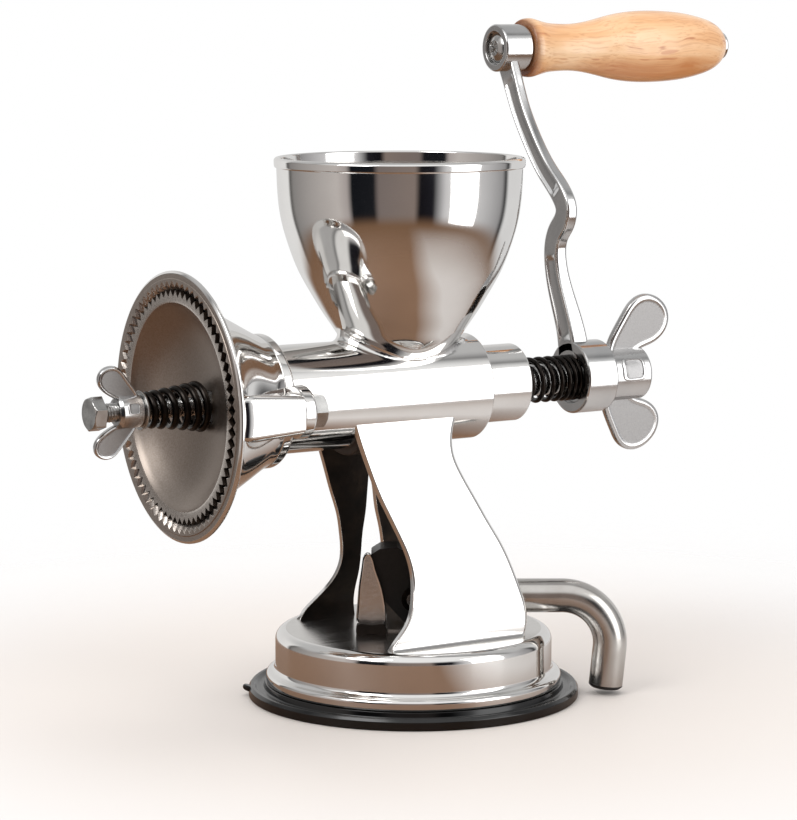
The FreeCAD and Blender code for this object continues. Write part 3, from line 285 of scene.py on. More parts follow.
def metal(name, tones, rough, grain, stretch=(1, 1, 1), wave=0.0, tooth=0.0):
    """A metal whose tone and roughness drift over a grain given in millimetres, with long
    waves or a fine tooth in its surface."""
    coat, tree, shader, place = finish(name, {"Metallic": 1.0})
    scale = [s / (grain * MM) for s in stretch]
    spot = add(tree, "ShaderNodeMapping", {"Vector": place, "Scale": scale})
    noise = {"Vector": spot.outputs[0], "Scale": 1.0, "Detail": 4.0}
    cloud = add(tree, "ShaderNodeTexNoise", noise).outputs["Fac"]
    tone = add(tree, "ShaderNodeValToRGB", {"Fac": cloud}, [(0.3, tones[0]), (0.7, tones[1])])
    drift = {"Value": cloud, "From Min": 0.3, "From Max": 0.7, "To Min": rough[0], "To Max": rough[1]}
    shine = add(tree, "ShaderNodeMapRange", drift)
    tree.links.new(tone.outputs[0], shader.inputs["Base Color"])
    tree.links.new(shine.outputs[0], shader.inputs["Roughness"])
    height = cloud
    if wave:
        long_waves = {"Vector": place, "Scale": 1 / (14 * MM), "Detail": 0.0}
        height = add(tree, "ShaderNodeTexNoise", long_waves).outputs["Fac"]
    if wave or tooth:
        relief = {"Height": height, "Distance": (wave or tooth) * MM, "Strength": 1.0}
        bump = add(tree, "ShaderNodeBump", relief)
        tree.links.new(bump.outputs[0], shader.inputs["Normal"])
    return coat


# Stainless steel, spun or cast and mirror polished: clear reflections that bend a little
polished = metal("mirror_polished_stainless", ("#e2e0de", "#e9e8e6"), (0.045, 0.085), 22, wave=0.018)
# The same steel only linished: soft, streaky reflections
linished = metal("linished_stainless", ("#cfccc8", "#dedcd9"), (0.16, 0.26), 1.2, (0.08, 1, 1), tooth=0.004)
# Cast steel, blasted and tumbled: a warm grey without clear reflections
blasted = metal("blasted_cast_steel", ("#94897f", "#a79c94"), (0.34, 0.44), 0.7, tooth=0.012)
# Teeth cut into the blasted casting: brighter metal
cut_teeth = metal("cut_steel_teeth", ("#b3aaa2", "#c4bcb5"), (0.22, 0.32), 0.8, tooth=0.006)
# Cast crank and nuts, tumbled bright
tumbled = metal("tumbled_cast_steel", ("#c8c8c8", "#d4d3d2"), (0.12, 0.18), 12, wave=0.03)
# Sunk faces of the wings, left matt from the mould
moulded = metal("matt_cast_steel", ("#9f9e9e", "#afaead"), (0.34, 0.44), 0.6, tooth=0.008)
# Drawn tube, brushed along its length
drawn = metal("brushed_steel_tube", ("#c2beb9", "#cfccc8"), (0.17, 0.24), 9)
# Machined small parts under oil
machined = metal("machined_steel", ("#b2b1af", "#c4c3c1"), (0.16, 0.25), 5)
# Spring wire with a black oxide skin
oxide = metal("black_oxide_steel", ("#24211f", "#332f2c"), (0.16, 0.26), 1.5, tooth=0.003)
# Turned bearing bronze
bronze = metal("turned_bronze", ("#a77b46", "#bd9258"), (0.24, 0.34), 1.0, tooth=0.004)


def raw_casting_and_painted_shade():
    """Sand-cast inner faces, never polished: a coarse skin with rusty brown clouds. Its near-black tone is
    partly painted shade inside the pedestal and under the barrel. On the leaf's foot and on the outer flank of
    the cone's teeth it is painted shade.
    """
    coat, tree, shader, place = finish("sand_casting_and_painted_shade", {"Metallic": 0.55, "Roughness": 0.5})
    cloud = add(tree, "ShaderNodeTexNoise", {"Vector": place, "Scale": 1 / (9 * MM), "Detail": 5.0})
    tone = add(
        tree,
        "ShaderNodeValToRGB",
        {"Fac": cloud.outputs["Fac"]},
        [(0.3, "#1b1510"), (0.55, "#2b2119"), (0.75, "#43362a")],
    )
    grit = add(tree, "ShaderNodeTexNoise", {"Vector": place, "Scale": 1 / (0.9 * MM), "Detail": 3.0})
    relief = {"Height": grit.outputs["Fac"], "Distance": 0.05 * MM, "Strength": 1.0}
    bump = add(tree, "ShaderNodeBump", relief)
    tree.links.new(tone.outputs[0], shader.inputs["Base Color"])
    tree.links.new(bump.outputs[0], shader.inputs["Normal"])
    return coat


def cured_rubber():
    """Moulded black rubber: a sheen that dulls a little in patches of faint bloom."""
    coat, tree, shader, place = finish("moulded_rubber", {"IOR": 1.52})
    noise = {"Vector": place, "Scale": 1 / (12 * MM), "Detail": 6.0}
    bloom = add(tree, "ShaderNodeTexNoise", noise).outputs["Fac"]
    tone = add(tree, "ShaderNodeValToRGB", {"Fac": bloom}, [(0.35, "#070707"), (0.75, "#101112")])
    drift = {"Value": bloom, "From Min": 0.3, "From Max": 0.7, "To Min": 0.13, "To Max": 0.22}
    shine = add(tree, "ShaderNodeMapRange", drift)
    tree.links.new(tone.outputs[0], shader.inputs["Base Color"])
    tree.links.new(shine.outputs[0], shader.inputs["Roughness"])
    return coat


def black_and_painted_shade():
    """Stoved black paint: nearly flat, with a slight orange-peel skin. On the cam block the black is painted
    shade.
    """
    coat, tree, shader, place = finish("stoved_black_and_painted_shade", {"IOR": 1.5, "Roughness": 0.38})
    noise = {"Vector": place, "Scale": 1 / (1.6 * MM), "Detail": 2.0}
    peel = add(tree, "ShaderNodeTexNoise", noise).outputs["Fac"]
    tone = add(tree, "ShaderNodeValToRGB", {"Fac": peel}, [(0.3, "#0c0b0a"), (0.7, "#171513")])
    bump = add(tree, "ShaderNodeBump", {"Height": peel, "Distance": 0.02 * MM, "Strength": 1.0})
    tree.links.new(tone.outputs[0], shader.inputs["Base Color"])
    tree.links.new(bump.outputs[0], shader.inputs["Normal"])
    return coat


def varnished_wood():
    """Turned pale beech under clear varnish: long soft bands, fine grain lines, browner
    patches towards the grip's lower side, and the reddish end grain that shows at the flange."""
    coat, tree, shader, place = finish(
        "varnished_beech", {"IOR": 1.5, "Roughness": 0.34, "Coat Weight": 0.7, "Coat Roughness": 0.1}
    )
    centre = [-v * MM for v in GRIP_AXIS]
    spot = add(tree, "ShaderNodeMapping", {"Vector": place, "Location": centre}, vector_type="POINT")
    slow = {"Vector": spot.outputs[0], "Scale": 1 / (30 * MM), "Detail": 2.0}
    warp = add(tree, "ShaderNodeTexNoise", slow)
    bent = add(
        tree,
        "ShaderNodeMixRGB",
        {"Fac": 0.009, "Color1": spot.outputs[0], "Color2": warp.outputs["Color"]},
        blend_type="ADD",
    )

    def stretched(along, across, shift=(0, 0, 0), detail=2.0):
        """Noise drawn out along the grip: along and across give its grain in millimetres."""
        scale = (1 / (along * MM), 1 / (across * MM), 1 / (across * MM))
        mapping = {"Vector": bent.outputs[0], "Scale": scale, "Location": shift}
        drawn_out = add(tree, "ShaderNodeMapping", mapping)
        noise = {"Vector": drawn_out.outputs[0], "Scale": 1.0, "Detail": detail}
        return add(tree, "ShaderNodeTexNoise", noise).outputs["Fac"]

    bands = [(0.3, "#e2a36a"), (0.45, "#efba86"), (0.6, "#f6c898"), (0.75, "#fad3a8")]
    tone = add(tree, "ShaderNodeValToRGB", {"Fac": stretched(90, 7)}, bands).outputs[0]
    grain = stretched(40, 0.8)
    dark_lines = stretched(26, 2.6, (3, 1, 7), 1.0)
    darker = [
        (grain, [(0.34, "#b9804f"), (0.5, "#ffffff")], 0.28),
        (dark_lines, [(0.66, "#ffffff"), (0.73, "#c07a45")], 0.5),
    ]
    for pattern, stops, share in darker:
        over = add(tree, "ShaderNodeValToRGB", {"Fac": pattern}, stops).outputs[0]
        under_over = {"Fac": share, "Color1": tone, "Color2": over}
        tone = add(tree, "ShaderNodeMixRGB", under_over, blend_type="MULTIPLY").outputs[0]
    along_grip, _, height = add(tree, "ShaderNodeSeparateXYZ", {"Vector": bent.outputs[0]}).outputs
    # Browner patches, only towards the grip's lower side
    sinking = {"Value": height, "From Min": 6 * MM, "From Max": -12 * MM}
    low_side = add(tree, "ShaderNodeMapRange", sinking, interpolation_type="SMOOTHSTEP").outputs[0]
    patches = {0: low_side, 1: stretched(60, 9, (1, 5, 2))}
    lower_brown_patches = add(tree, "ShaderNodeMath", patches, operation="MULTIPLY").outputs[0]
    lower_brown_patches = add(tree, "ShaderNodeValToRGB", {"Fac": lower_brown_patches}, [(0.16, "#000000"), (0.42, "#e6e6e6")])
    flange = {"Value": along_grip, "From Min": 98 * MM, "From Max": 104 * MM, "To Min": 0.92, "To Max": 0}
    end_grain = add(tree, "ShaderNodeMapRange", flange, interpolation_type="SMOOTHSTEP")
    for share, code in [(lower_brown_patches, "#c67c40"), (end_grain, "#74391a")]:
        stain = {"Fac": share.outputs[0], "Color1": tone, "Color2": linear(code)}
        tone = add(tree, "ShaderNodeMixRGB", stain, blend_type="MIX").outputs[0]
    bump = add(tree, "ShaderNodeBump", {"Height": grain, "Distance": 0.015 * MM, "Strength": 1.0})
    tree.links.new(tone, shader.inputs["Base Color"])
    tree.links.new(bump.outputs[0], shader.inputs["Normal"])
    return coat


casting_and_shade = raw_casting_and_painted_shade()
rubber = cured_rubber()
black_coat_and_shade = black_and_painted_shade()
wood = varnished_wood()

# Suction pad: a rubber disc with a raised lip, and a small pull tab at its edge
PAD_MIDDLE = 34.0
PAD_TOP = 6.2
PAD_HOLLOW = 3.4
pad_line = rounded(
    [
        (PAD_HOLLOW, PAD_MIDDLE),
        (PAD_HOLLOW, 40, 6),
        (0, 56, 4),
        (0, 72, 0.4),
        (3.6, 72, 0.7),
        (5.0, 71, 0.6),
        (4.9, 69.6, 0.4),
        (3.6, 68.2, 0.9),
        (3.7, 65.4, 0.8),
        (PAD_TOP, 64.8, 0.3),
        (PAD_TOP, PAD_MIDDLE),
    ],
)
tab = closed_curve([(70.5, -2.6), (73.5, -2.2), (74.6, 0), (73.5, 2.2), (70.5, 2.6), (69.5, 0)], 40)
tab_rows = [(0.7, 1.6), (0.1, 2.0), (0, 2.6), (0.1, 3.4), (0.8, 4.0)]
tab_points = np.stack([np.column_stack([inset(tab, d), np.full(40, z)]) for d, z in tab_rows])
tab_points[..., 2] += 0.3 * np.clip(tab_points[..., 0] - 71, 0, None)
piece(
    "rubber_suction_pad",
    [
        shell(turned(pad_line, "Z", 240), ring=True),
        shell(turned_about(tab_points, 152, "Z"), ends=True),
    ],
    "base",
    [rubber],
    ["suction_pad"],
)
# The pad's middle, that the plate on the stud presses down when the lever is up
middle_line = np.array([(PAD_HOLLOW, 0), (PAD_HOLLOW, PAD_MIDDLE), (PAD_TOP, PAD_MIDDLE), (PAD_TOP, 0)])
middle_shells = [shell(turned(middle_line, "Z", 240))]
pad_middle = piece("suction_pad_middle", middle_shells, "base", [rubber])
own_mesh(pad_middle)

# Base drum: a flanged cover with a rounded top edge
DRUM_TOP = 29.5
drum_line = rounded(
    [
        (PAD_TOP, 57.7),
        (PAD_TOP, 64.4, 1.2),
        (11.0, 64.4, 1.9),
        (11.4, 60.3, 2.6),
        (DRUM_TOP, 60.3, 4.6),
        (DRUM_TOP, 9),
        (26.9, 9),
        (26.9, 57.7),
    ],
    steps=10,
)
# The flat top is linished
drum_middle = (drum_line[:, 0] + np.roll(drum_line[:, 0], -1)) / 2
drum_paint = np.where(drum_middle > DRUM_TOP - 0.01, 1, 0)
piece(
    "base_drum_cover",
    [shell(turned(drum_line, "Z", 240), ring=True, paint=drum_paint[:, None])],
    "base",
    [polished, linished],
    ["base_drum"],
)


# Pedestal: two flared walls under the barrel, polished outside and raw inside. The dark inner casting is partly
# painted shade
LOW = curve(
    [(-35.8, 29.5), (-33, 33.5), (-29.4, 37), (-24.4, 42.5), (-20.6, 50), (-19.3, 58.5), (-20.6, 67),
     (-24.6, 79), (-29.8, 91), (-35.3, 106), (-40.2, 120), (-42, 126)],
    400,
)
HIGH = curve(
    [(32.4, 29.5), (34.2, 37.9), (34.6, 44.1), (33.2, 53.5), (28.8, 66), (22, 80.1), (15.4, 92.7),
     (11.6, 99.9), (8.6, 107.1), (7.8, 113), (8.6, 120), (10.4, 126)],
    400,
)
SPREAD = curve(
    [(40.4, 29.5), (40.6, 34), (37.6, 43), (34, 50), (31.7, 57), (29, 69), (26, 78), (24.2, 86), (22.4, 95),
     (21.2, 105), (20.7, 114), (20.6, 126)],
    400,
)
SLOT_LOW = curve([(-7.6, 29.5), (-9.4, 54), (-10.2, 73), (-11, 95)], 60)
SLOT_HIGH = curve(
    [(5, 29.5), (3.4, 48), (1.8, 60), (-0.6, 69.2), (-4.9, 79.7), (-8.3, 92.2), (-9.6, 95)], 120
)
SLOT_TOP = 95.0
WALL_TOP = 118.0
WALL = 3.0


def across_at(line, z):
    """The line's distance at each height."""
    return np.interp(z, line[:, 1], line[:, 0])


def wall_strip(side, left, right, bottom, top, rows, round_left=0.9, round_right=2.6):
    """One upright strip of a wall: at each height a slab from left to right, as thick as
    the wall, with rounded corners. The outer face and the two edges are polished."""
    z = np.linspace(bottom, top, rows)
    foot = 1.5 * np.clip(1 - (z - DRUM_TOP) / 1.6, 0, 1) ** 2
    corners = [(0, 0, round_left), (10, 0, round_right), (10, -WALL, 0.35), (0, -WALL, 0.4)]
    line = rounded(corners, steps=6)
    on_right = line[:, 0] > 5
    outside = line[:, 1] > -WALL / 2
    from_left = across_at(left, z)[:, None] + line[:, 0]
    from_right = across_at(right, z)[:, None] + line[:, 0] - 10
    x = np.where(on_right, from_right, from_left)
    y = across_at(SPREAD, z)[:, None] + line[:, 1] + foot[:, None] * outside
    points = np.stack([x, side * y, z[:, None] + 0 * x], axis=-1)
    pair = np.stack([line, np.roll(line, -1, axis=0)]).mean(axis=0)
    # Inner faces take the dark casting, which is partly painted shade
    inner = pair[:, 1] < -WALL + 0.08
    return shell(points, ends=True, paint=np.where(inner, 1, 0)[None, :])


def saddle():
    """The bridge under the barrel: a bent slab that follows the barrel from wall to wall."""
    angle = np.radians(np.linspace(-46, 46, 40))
    rows = [(23.0, 0), (25.5, 0), (26.0, 0.5), (26.0, -0.5), (25.5, 0), (23.0, 0)]
    points = []
    for k, (radius, lean) in enumerate(rows):
        y = radius * np.sin(angle)
        z = AXIS_HEIGHT - radius * np.cos(angle)
        x = across_at(LOW, z) + 0.8 + lean if k < 3 else across_at(HIGH, z) - 0.8 + lean
        points.append(np.stack([x, y, z], axis=1))
    # The whole bridge is dark casting, partly painted shade under the barrel
    return shell(np.stack(points, axis=1), ends=True, paint=1, end_paint=1)


piece(
    "flared_pedestal",
    [
        wall_strip(-1, LOW, HIGH, DRUM_TOP - 0.2, WALL_TOP + 7, 120),
        wall_strip(1, LOW, SLOT_LOW, DRUM_TOP - 0.2, SLOT_TOP + 0.1, 80, 0.9, 0.5),
        wall_strip(1, SLOT_HIGH, HIGH, DRUM_TOP - 0.2, SLOT_TOP + 0.1, 80, 0.5, 2.6),
        wall_strip(1, LOW, HIGH, SLOT_TOP - 0.1, WALL_TOP + 7, 50),
        saddle(),
    ],
    "base",
    [polished, casting_and_shade],
    ["pedestal"],
)

# Barrel with its front ring
HOPPER_X = -7.0
barrel_line = rounded(
    [(-78.3, 18.2, 0.3), (-78.3, BARREL_RADIUS), (27.3, BARREL_RADIUS, 0.9), (27.3, 18.2, 0.3)], steps=6
)
ring_line = rounded([(-78.3, 22), (-78.3, 28.4, 0.8), (-73.3, 28.4, 1.6), (-73.3, 22)], steps=6)
EAR_Y = 33.0
EAR_Z = -0.7
EAR_RADIUS = 11.0
EAR_REAR = -72.4


def ear_outline(count=72):
    """The ear's section: a round end, then two sides that run in to the barrel. Its
    points are (y, z) from the barrel's axis."""
    arc = np.radians(np.linspace(-97, 97, count))
    tip = np.stack([EAR_Y + EAR_RADIUS * np.cos(arc), EAR_Z + EAR_RADIUS * np.sin(arc)], axis=1)
    high, low = EAR_Z + 9.8, EAR_Z - 9.8
    inward = np.array([(27, high + 0.1), (19, high), (17, EAR_Z), (19, low), (27, low - 0.1)])
    return np.vstack([tip, inward])


def lug(side):
    """The barrel's half of an ear: a short block with rounded edges."""
    outline = ear_outline()
    steps = np.radians(np.linspace(0, 90, 7))
    rows = [(-78.25, 0.5), (-77.9, 0.12), (-77.4, 0.0), (EAR_REAR - 1.4, 0.0)]
    rows += [(EAR_REAR - 1.4 + 1.4 * math.sin(a), 1.4 * (1 - math.cos(a))) for a in steps[1:]]
    points = []
    for x, depth in rows:
        flat = inset(outline, depth) if depth else outline
        points.append(np.column_stack([np.full(len(flat), x), side * flat[:, 0], flat[:, 1]]))
    return shell(np.stack(points) + AXIS, ends=True)


barrel = piece(
    "barrel_tube",
    [ring_of(barrel_line, 240)],
    "base",
    [polished],
    ["barrel_housing"],
)
# The throat under the hopper is cut through the barrel's upper side
THROAT_RADIUS = 15.0
cutter_line = np.array([(AXIS_HEIGHT, 0), (AXIS_HEIGHT, THROAT_RADIUS), (162, THROAT_RADIUS), (162, 0)])
cutter_shell = shell(turned(cutter_line, "Z", 96) + np.array([HOPPER_X, 0, 0]))
cutter = bpy.data.objects.new("throat_cutter", mesh_of("throat_cutter", [cutter_shell]))
bpy.context.collection.objects.link(cutter)
cut = barrel.modifiers.new("throat", "BOOLEAN")
cut.object = cutter
cut.operation = "DIFFERENCE"
cut.solver = "EXACT"
evaluated = barrel.evaluated_get(bpy.context.evaluated_depsgraph_get())
with_hole = bpy.data.meshes.new_from_object(evaluated)
barrel.modifiers.remove(cut)
barrel.data = with_hole
bpy.data.objects.remove(cutter)
piece(
    "barrel_ring_and_ears",
    [ring_of(ring_line, 200), lug(-1), lug(1)],
    "base",
    [polished],
    ["barrel_housing"],
)


# Hopper: a spun cup with a rolled rim, filleted onto the barrel
CUP = [
    (52.7, 230.2), (52.3, 220), (50.9, 208.5), (47.8, 197.2), (43.3, 185.6), (38, 176), (33, 167.8),
    (29, 161.9), (26.4, 158), (23.1, 154.2), (20.1, 151.4), (17.5, 149.6), (16, 148.6), (15.4, 147),
]
CUP_INSIDE = [
    (50.9, 230.2), (50.5, 220.2), (49.1, 208.9), (46, 197.9), (41.6, 186.5), (36.4, 177), (31.5, 168.9),
    (27.5, 163), (25, 159.1), (21.8, 155.4), (19, 152.8), (16.5, 151.1), (15.1, 150),
]
CUP_RIM = [(50.9, 229.5), (51.4, 234.5, 0.8), (53.9, 234.5, 1.5), (53.7, 230.6, 1.3), (52.72, 229.6)]
CUP_INSIDE_ROWS = 80
BARREL_INSIDE = 20.5
HOLE_RADIUS = 15.1


def hopper_points(count=240):
    """The cup's two faces round its axis. In each upright cut the outer face leaves the cup
    a fillet's length before it meets the barrel, and a cubic curve brings it tangent there."""
    angle = 2 * math.pi * np.arange(count) / count
    cup = curve(CUP, 400)
    reach = np.abs(cup[:, 0, None] * np.sin(angle))
    barrel_top = AXIS_HEIGHT + np.sqrt(np.clip(BARREL_RADIUS ** 2 - reach ** 2, 0, None))
    above = cup[:, 1, None] - barrel_top
    first = np.argmax(above < 0, axis=0)
    length = np.concatenate(([0.0], np.cumsum(np.linalg.norm(np.diff(cup, axis=0), axis=1))))
    side = np.abs(np.sin(angle))
    fillet = 1.8 + 6.0 * (1 - side) ** 0.8
    leave = length[first] - fillet
    share = np.linspace(0, 1, 70)[:, None] ** 0.9
    s = share * leave
    body = np.stack([np.interp(s, length, cup[:, 0]), np.interp(s, length, cup[:, 1])], axis=-1)
    slope = np.gradient(cup, axis=0)
    slope /= np.linalg.norm(slope, axis=1)[:, None]
    start = body[-1]
    down = np.interp(leave, length, slope[:, 0]), np.interp(leave, length, slope[:, 1])
    down = np.stack(down, axis=-1)
    meet = np.interp(length[first], length, cup[:, 0])
    land = meet + fillet * (1 - 0.9 * side ** 3)
    land = np.minimum(land, 22.6 / np.maximum(side, 1e-6))
    land_z = AXIS_HEIGHT + np.sqrt(np.clip(BARREL_RADIUS ** 2 - (land * side) ** 2, 0.01, None))
    end = np.stack([land, land_z], axis=-1)
    fall = -land * side ** 2 / (land_z - AXIS_HEIGHT)
    outward = np.stack([np.ones_like(fall), fall], axis=-1)
    outward /= np.linalg.norm(outward, axis=1)[:, None]
    gap = np.linalg.norm(end - start, axis=1)[:, None]
    u = np.linspace(0, 1, 16)[1:, None, None]
    a, b = start + down * gap * 0.45, end - outward * gap * 0.45
    v = 1 - u
    bridge = v ** 3 * start + 3 * u * v ** 2 * a + 3 * u ** 2 * v * b + u ** 3 * end
    deep = np.stack([np.maximum(land - 2, 15.6), 0 * land], axis=-1)
    deep[:, 1] = AXIS_HEIGHT + np.sqrt(BARREL_INSIDE ** 2 - (deep[:, 0] * side) ** 2)
    hole_z = AXIS_HEIGHT + np.sqrt(BARREL_INSIDE ** 2 - (HOLE_RADIUS * side) ** 2)
    hole = np.stack([np.full(count, HOLE_RADIUS), hole_z], axis=-1)
    sunk = np.stack([end - outward * 0.3 - np.array([0, 0.8]), deep])
    inside = curve(CUP_INSIDE, CUP_INSIDE_ROWS)[::-1]
    rim = rounded(CUP_RIM, 6, False)
    inside = np.broadcast_to(inside[:, None], (len(inside), count, 2))
    inside = np.concatenate([hole[None], inside])
    rim = np.broadcast_to(rim[:, None], (len(rim), count, 2))
    line = np.concatenate([inside, rim[1:-1], body, bridge, sunk])
    x = HOPPER_X + line[..., 0] * np.cos(angle)
    return np.stack([x, line[..., 0] * np.sin(angle), line[..., 1]], axis=-1)


cup_points = hopper_points()
cup_paint = np.where(np.arange(len(cup_points)) < CUP_INSIDE_ROWS, 1, 0)
piece(
    "spun_hopper",
    [shell(cup_points, ring=True, paint=cup_paint[:, None])],
    "base",
    [polished, linished],
    ["hopper"],
)

# Grinding bell: a flared cover with pointed teeth round its mouth and an ear on each side
TEETH = 70
FLARE = curve(
    [(-112.2, 53.0), (-111.1, 49.6), (-108, 45.8), (-103, 41.9), (-97, 38.2), (-91, 34.9), (-85, 31.6),
     (-81.4, 29.7), (-78.4, 28.4)],
    80,
)


def teeth(count, low, high):
    """Pointed teeth: the radius runs evenly between low and high, count times round."""
    steps = 8 * count
    phase = np.abs(((np.arange(steps) / 8.0) % 1) * 2 - 1)
    return low + (high - low) * phase


bell_back = rounded([(-78.4, 28.4), (-78.4, 18.2, 0.3), (-84, 18.2), (-112.3, 46.9)], 4, False)
bell_mouth = rounded(
    [(-115.3, 53.2), (-115.0, 53.5, 0.3), (-115.0, 55.6, 0.5), (-114.3, 56.6, 0.7), (-113.2, 56.6, 0.8),
     (-112.6, 55.4), (-112.2, 53.0)],
    5,
    False,
)
bell_outer = np.vstack([bell_mouth, FLARE[1:], bell_back[1:]])
# The mouth's teeth run down a cone from the face to the gap behind the turning teeth
ridges = np.array([(-112.6, 47.8), (-113.3, 49.3), (-114.3, 50.6), (-115.15, 51.1), (-115.3, 51.4)])
bell_rows = np.vstack([bell_outer, ridges])
step = teeth(TEETH, 0.0, 1.0)
bell_swell = np.zeros((len(bell_rows), len(step)))
bell_swell[-5:] = np.array([0.3, 1.3, 2.0, 2.3, 2.2])[:, None] * (step - 0.5)
bell_paint = np.zeros(len(bell_rows), int)
bell_paint[:7] = 1
bell_paint[-1] = 1
bell_paint[-6:-1] = 2
bell_paint[len(bell_outer) - 3:-6] = 1


def bell_ear(side):
    """The bell's half of an ear: a block whose height narrows evenly to the rear. Each line of its
    section starts on the flare, leaves it through a small fillet, and ends at the joint."""
    corners = [(20, -9), (45, -9, 3.2), (45, 9, 3.2), (20, 9)]
    outline = rounded(corners, 8)
    fine = np.linspace(0, 1, 9)[:-1]
    steps = np.roll(outline, -1, axis=0) - outline
    outline = (outline[:, None] + fine[:, None] * steps[:, None]).reshape(-1, 2)
    radius = np.hypot(outline[:, 0], outline[:, 1] * 1.1)
    flare_x = np.interp(-radius, -FLARE[:, 1], FLARE[:, 0])
    flare_x = np.where(radius < 28.6, -81.5, flare_x)
    spread = [(-1.4, 0.0), (-0.7, 1.6), (0.5, 1.0), (1.8, 0.4), (3.6, 0.1), (5.4, 0.0)]
    ends = [(-79.4, 0.0), (-78.8, 0.12), (-78.45, 0.5)]
    rows = [(np.minimum(flare_x + ahead, -80.4), -grow) for ahead, grow in spread]
    rows += [(np.full(len(outline), x), depth) for x, depth in ends]
    points = []
    for x, depth in rows:
        flat = inset(outline, depth) if depth else outline
        narrow = np.interp(x, [-108.6, -78.4], [10.4, 7.8]) / 9
        points.append(np.column_stack([x, side * flat[:, 0], EAR_Z + flat[:, 1] * narrow]))
    return shell(np.stack(points) + AXIS, ends=True)


bell_points = turned(bell_rows, "X", len(step), bell_swell) + AXIS
piece(
    "flared_grinding_bell",
    [
        shell(bell_points, ring=True, paint=bell_paint[:, None]),
        bell_ear(-1),
        bell_ear(1),
    ],
    "base",
    [polished, blasted, cut_teeth],
    ["grinding_bell"],
)

# Grinding cone: a toothed dish with a square hole for the screw's drive
dish = curve(
    [(-114.6, 43.5), (-113.4, 42.6), (-111.6, 40.6), (-107.6, 35), (-104.6, 28), (-102.8, 21), (-101.8, 14)],
    60,
)
cone_outer = rounded([(-84.5, 14), (-88.5, 17), (-112.5, 45.2)], 4, False)
cone_rows = np.vstack(
    [
        dish,
        [(-101.8, 10.5), (-101.8, 6.6), (-84.5, 6.6)],
        cone_outer,
        [(-113.4, 46.9), (-114.8, 46.9), (-115.0, 46.7), (-115.0, 44.6)],
    ]
)
cone_steps = teeth(TEETH, 48.8, 46.0)
turn_angle = 2 * math.pi * np.arange(len(cone_steps)) / len(cone_steps)
HALF_DRIVE = 6.7
square = HALF_DRIVE / np.maximum(np.abs(np.cos(turn_angle)), np.abs(np.sin(turn_angle)))
cone_swell = np.zeros((len(cone_rows), len(cone_steps)))
hole = len(dish)
cone_swell[hole + 1:hole + 3] = square - 6.6
cone_swell[-4:-2] = cone_steps - 46.9
cone_swell[-2] = 0.96 * (cone_steps - 46.9)
cone_paint = np.zeros(len(cone_rows), int)
# The outer flank of the teeth ring is dark casting: painted shade in the gap behind the bell's teeth
cone_paint[-5:-2] = 2
cone_paint[-2:] = 1
cone_points = turned(cone_rows, "X", len(cone_steps), cone_swell) + AXIS
piece(
    "toothed_grinding_cone",
    [shell(cone_points, ring=True, paint=cone_paint[:, None])],
    "cone",
    [blasted, cut_teeth, casting_and_shade],
    ["grinding_cone"],
)


def hexagon(flats, start, end, axis, turn=0.0, chamfer_start=True, chamfer_end=True, hole=0.0, depth=1.3):
    """A hexagonal block along X: the smaller of the hexagon's radius and a cone at each chamfered end."""
    angle = 2 * math.pi * np.arange(144) / 144
    local = (angle - math.radians(turn) + math.pi / 6) % (math.pi / 3) - math.pi / 6
    wide = flats / 2 / np.cos(local)
    x = np.concatenate([start + np.linspace(0, depth, 9), end - np.linspace(depth, 0, 9)])
    limit = np.full(len(x), flats)
    if chamfer_start:
        limit = np.minimum(limit, flats / 2 - 0.15 + (x - start) * 1.5)
    if chamfer_end:
        limit = np.minimum(limit, flats / 2 - 0.15 + (end - x) * 1.5)
    radius = np.minimum(wide, limit[:, None])
    radius = np.vstack([np.full(144, hole), radius, np.full(144, hole)])
    line = np.column_stack([np.concatenate([[start], x, [end]]), np.zeros(len(x) + 2)])
    return shell(turned(line, "X", 144, radius) + axis, ring=hole > 0)


def screw_thread(start, end, radius, pitch, depth, axis, count=48, per_turn=8):
    """A threaded rod: the radius dips evenly once per pitch, and the dip climbs once per turn."""
    x = np.linspace(start, end, int((end - start) / pitch * per_turn) + 1)
    angle = np.arange(count) / count
    phase = (x[:, None] / pitch - angle) % 1
    dip = depth * np.clip(1.4 * np.abs(2 * phase - 1) - 0.2, 0, 1)
    near_end = np.clip(np.minimum(x - start, end - x) / 0.8, 0, 1)[:, None]
    radius = radius - dip * near_end - (1 - near_end) * depth
    line = np.column_stack([x, np.zeros(len(x))])
    return shell(turned(line, "X", count, radius) + axis, ends=True)


# Adjusting bolt with a hexagon head
piece(
    "adjusting_bolt_with_thread",
    [
        hexagon(13, -155, -149.7, AXIS, 12, True, False, depth=1.6),
        screw_thread(-150.2, -84.2, 4.0, 1.25, 0.55, AXIS),
    ],
    "crank",
    [machined],
    ["adjusting_bolt"],
    sharp=28,
)


def washer(start, end, inner, outer):
    """The line of a flat ring along X, with its outer edges rounded."""
    return rounded([(start, inner), (start, outer, 0.2), (end, outer, 0.2), (end, inner)], 3)


front_washer = [ring_of(washer(-132.1, -131.1, 4.12, 8.2), 96)]
rear_washer = [ring_of(washer(97.6, 98.8, 6.12, 11.5), 96)]
piece("front_pressure_washer", front_washer, "front_washer", [machined], ["front_washer"])
piece("rear_clamp_washer", rear_washer, "rear_washer", [machined], ["rear_washer"])


def wings(spots, half_levels, count):
    """Two flat wings, one above and one below the hub, alike on both faces. The faces
    inside the rim are sunk."""
    levels = [(depth, -height) for depth, height in half_levels[::-1]] + half_levels
    outline = closed_curve(spots, count)
    upper = plate(outline, levels)
    lower = upper * np.array([1, 1, -1])
    made = []
    for points in (upper, lower):
        points = turned_about(points, NUT_TURN) + AXIS
        depth = np.array([level[0] for level in levels])
        sunk = np.where(np.minimum(depth[:-1], depth[1:]) >= np.sort(depth)[-4], 1, 0)
        made.append(shell(points, ends=True, paint=sunk[:, None], end_paint=1))
    return made


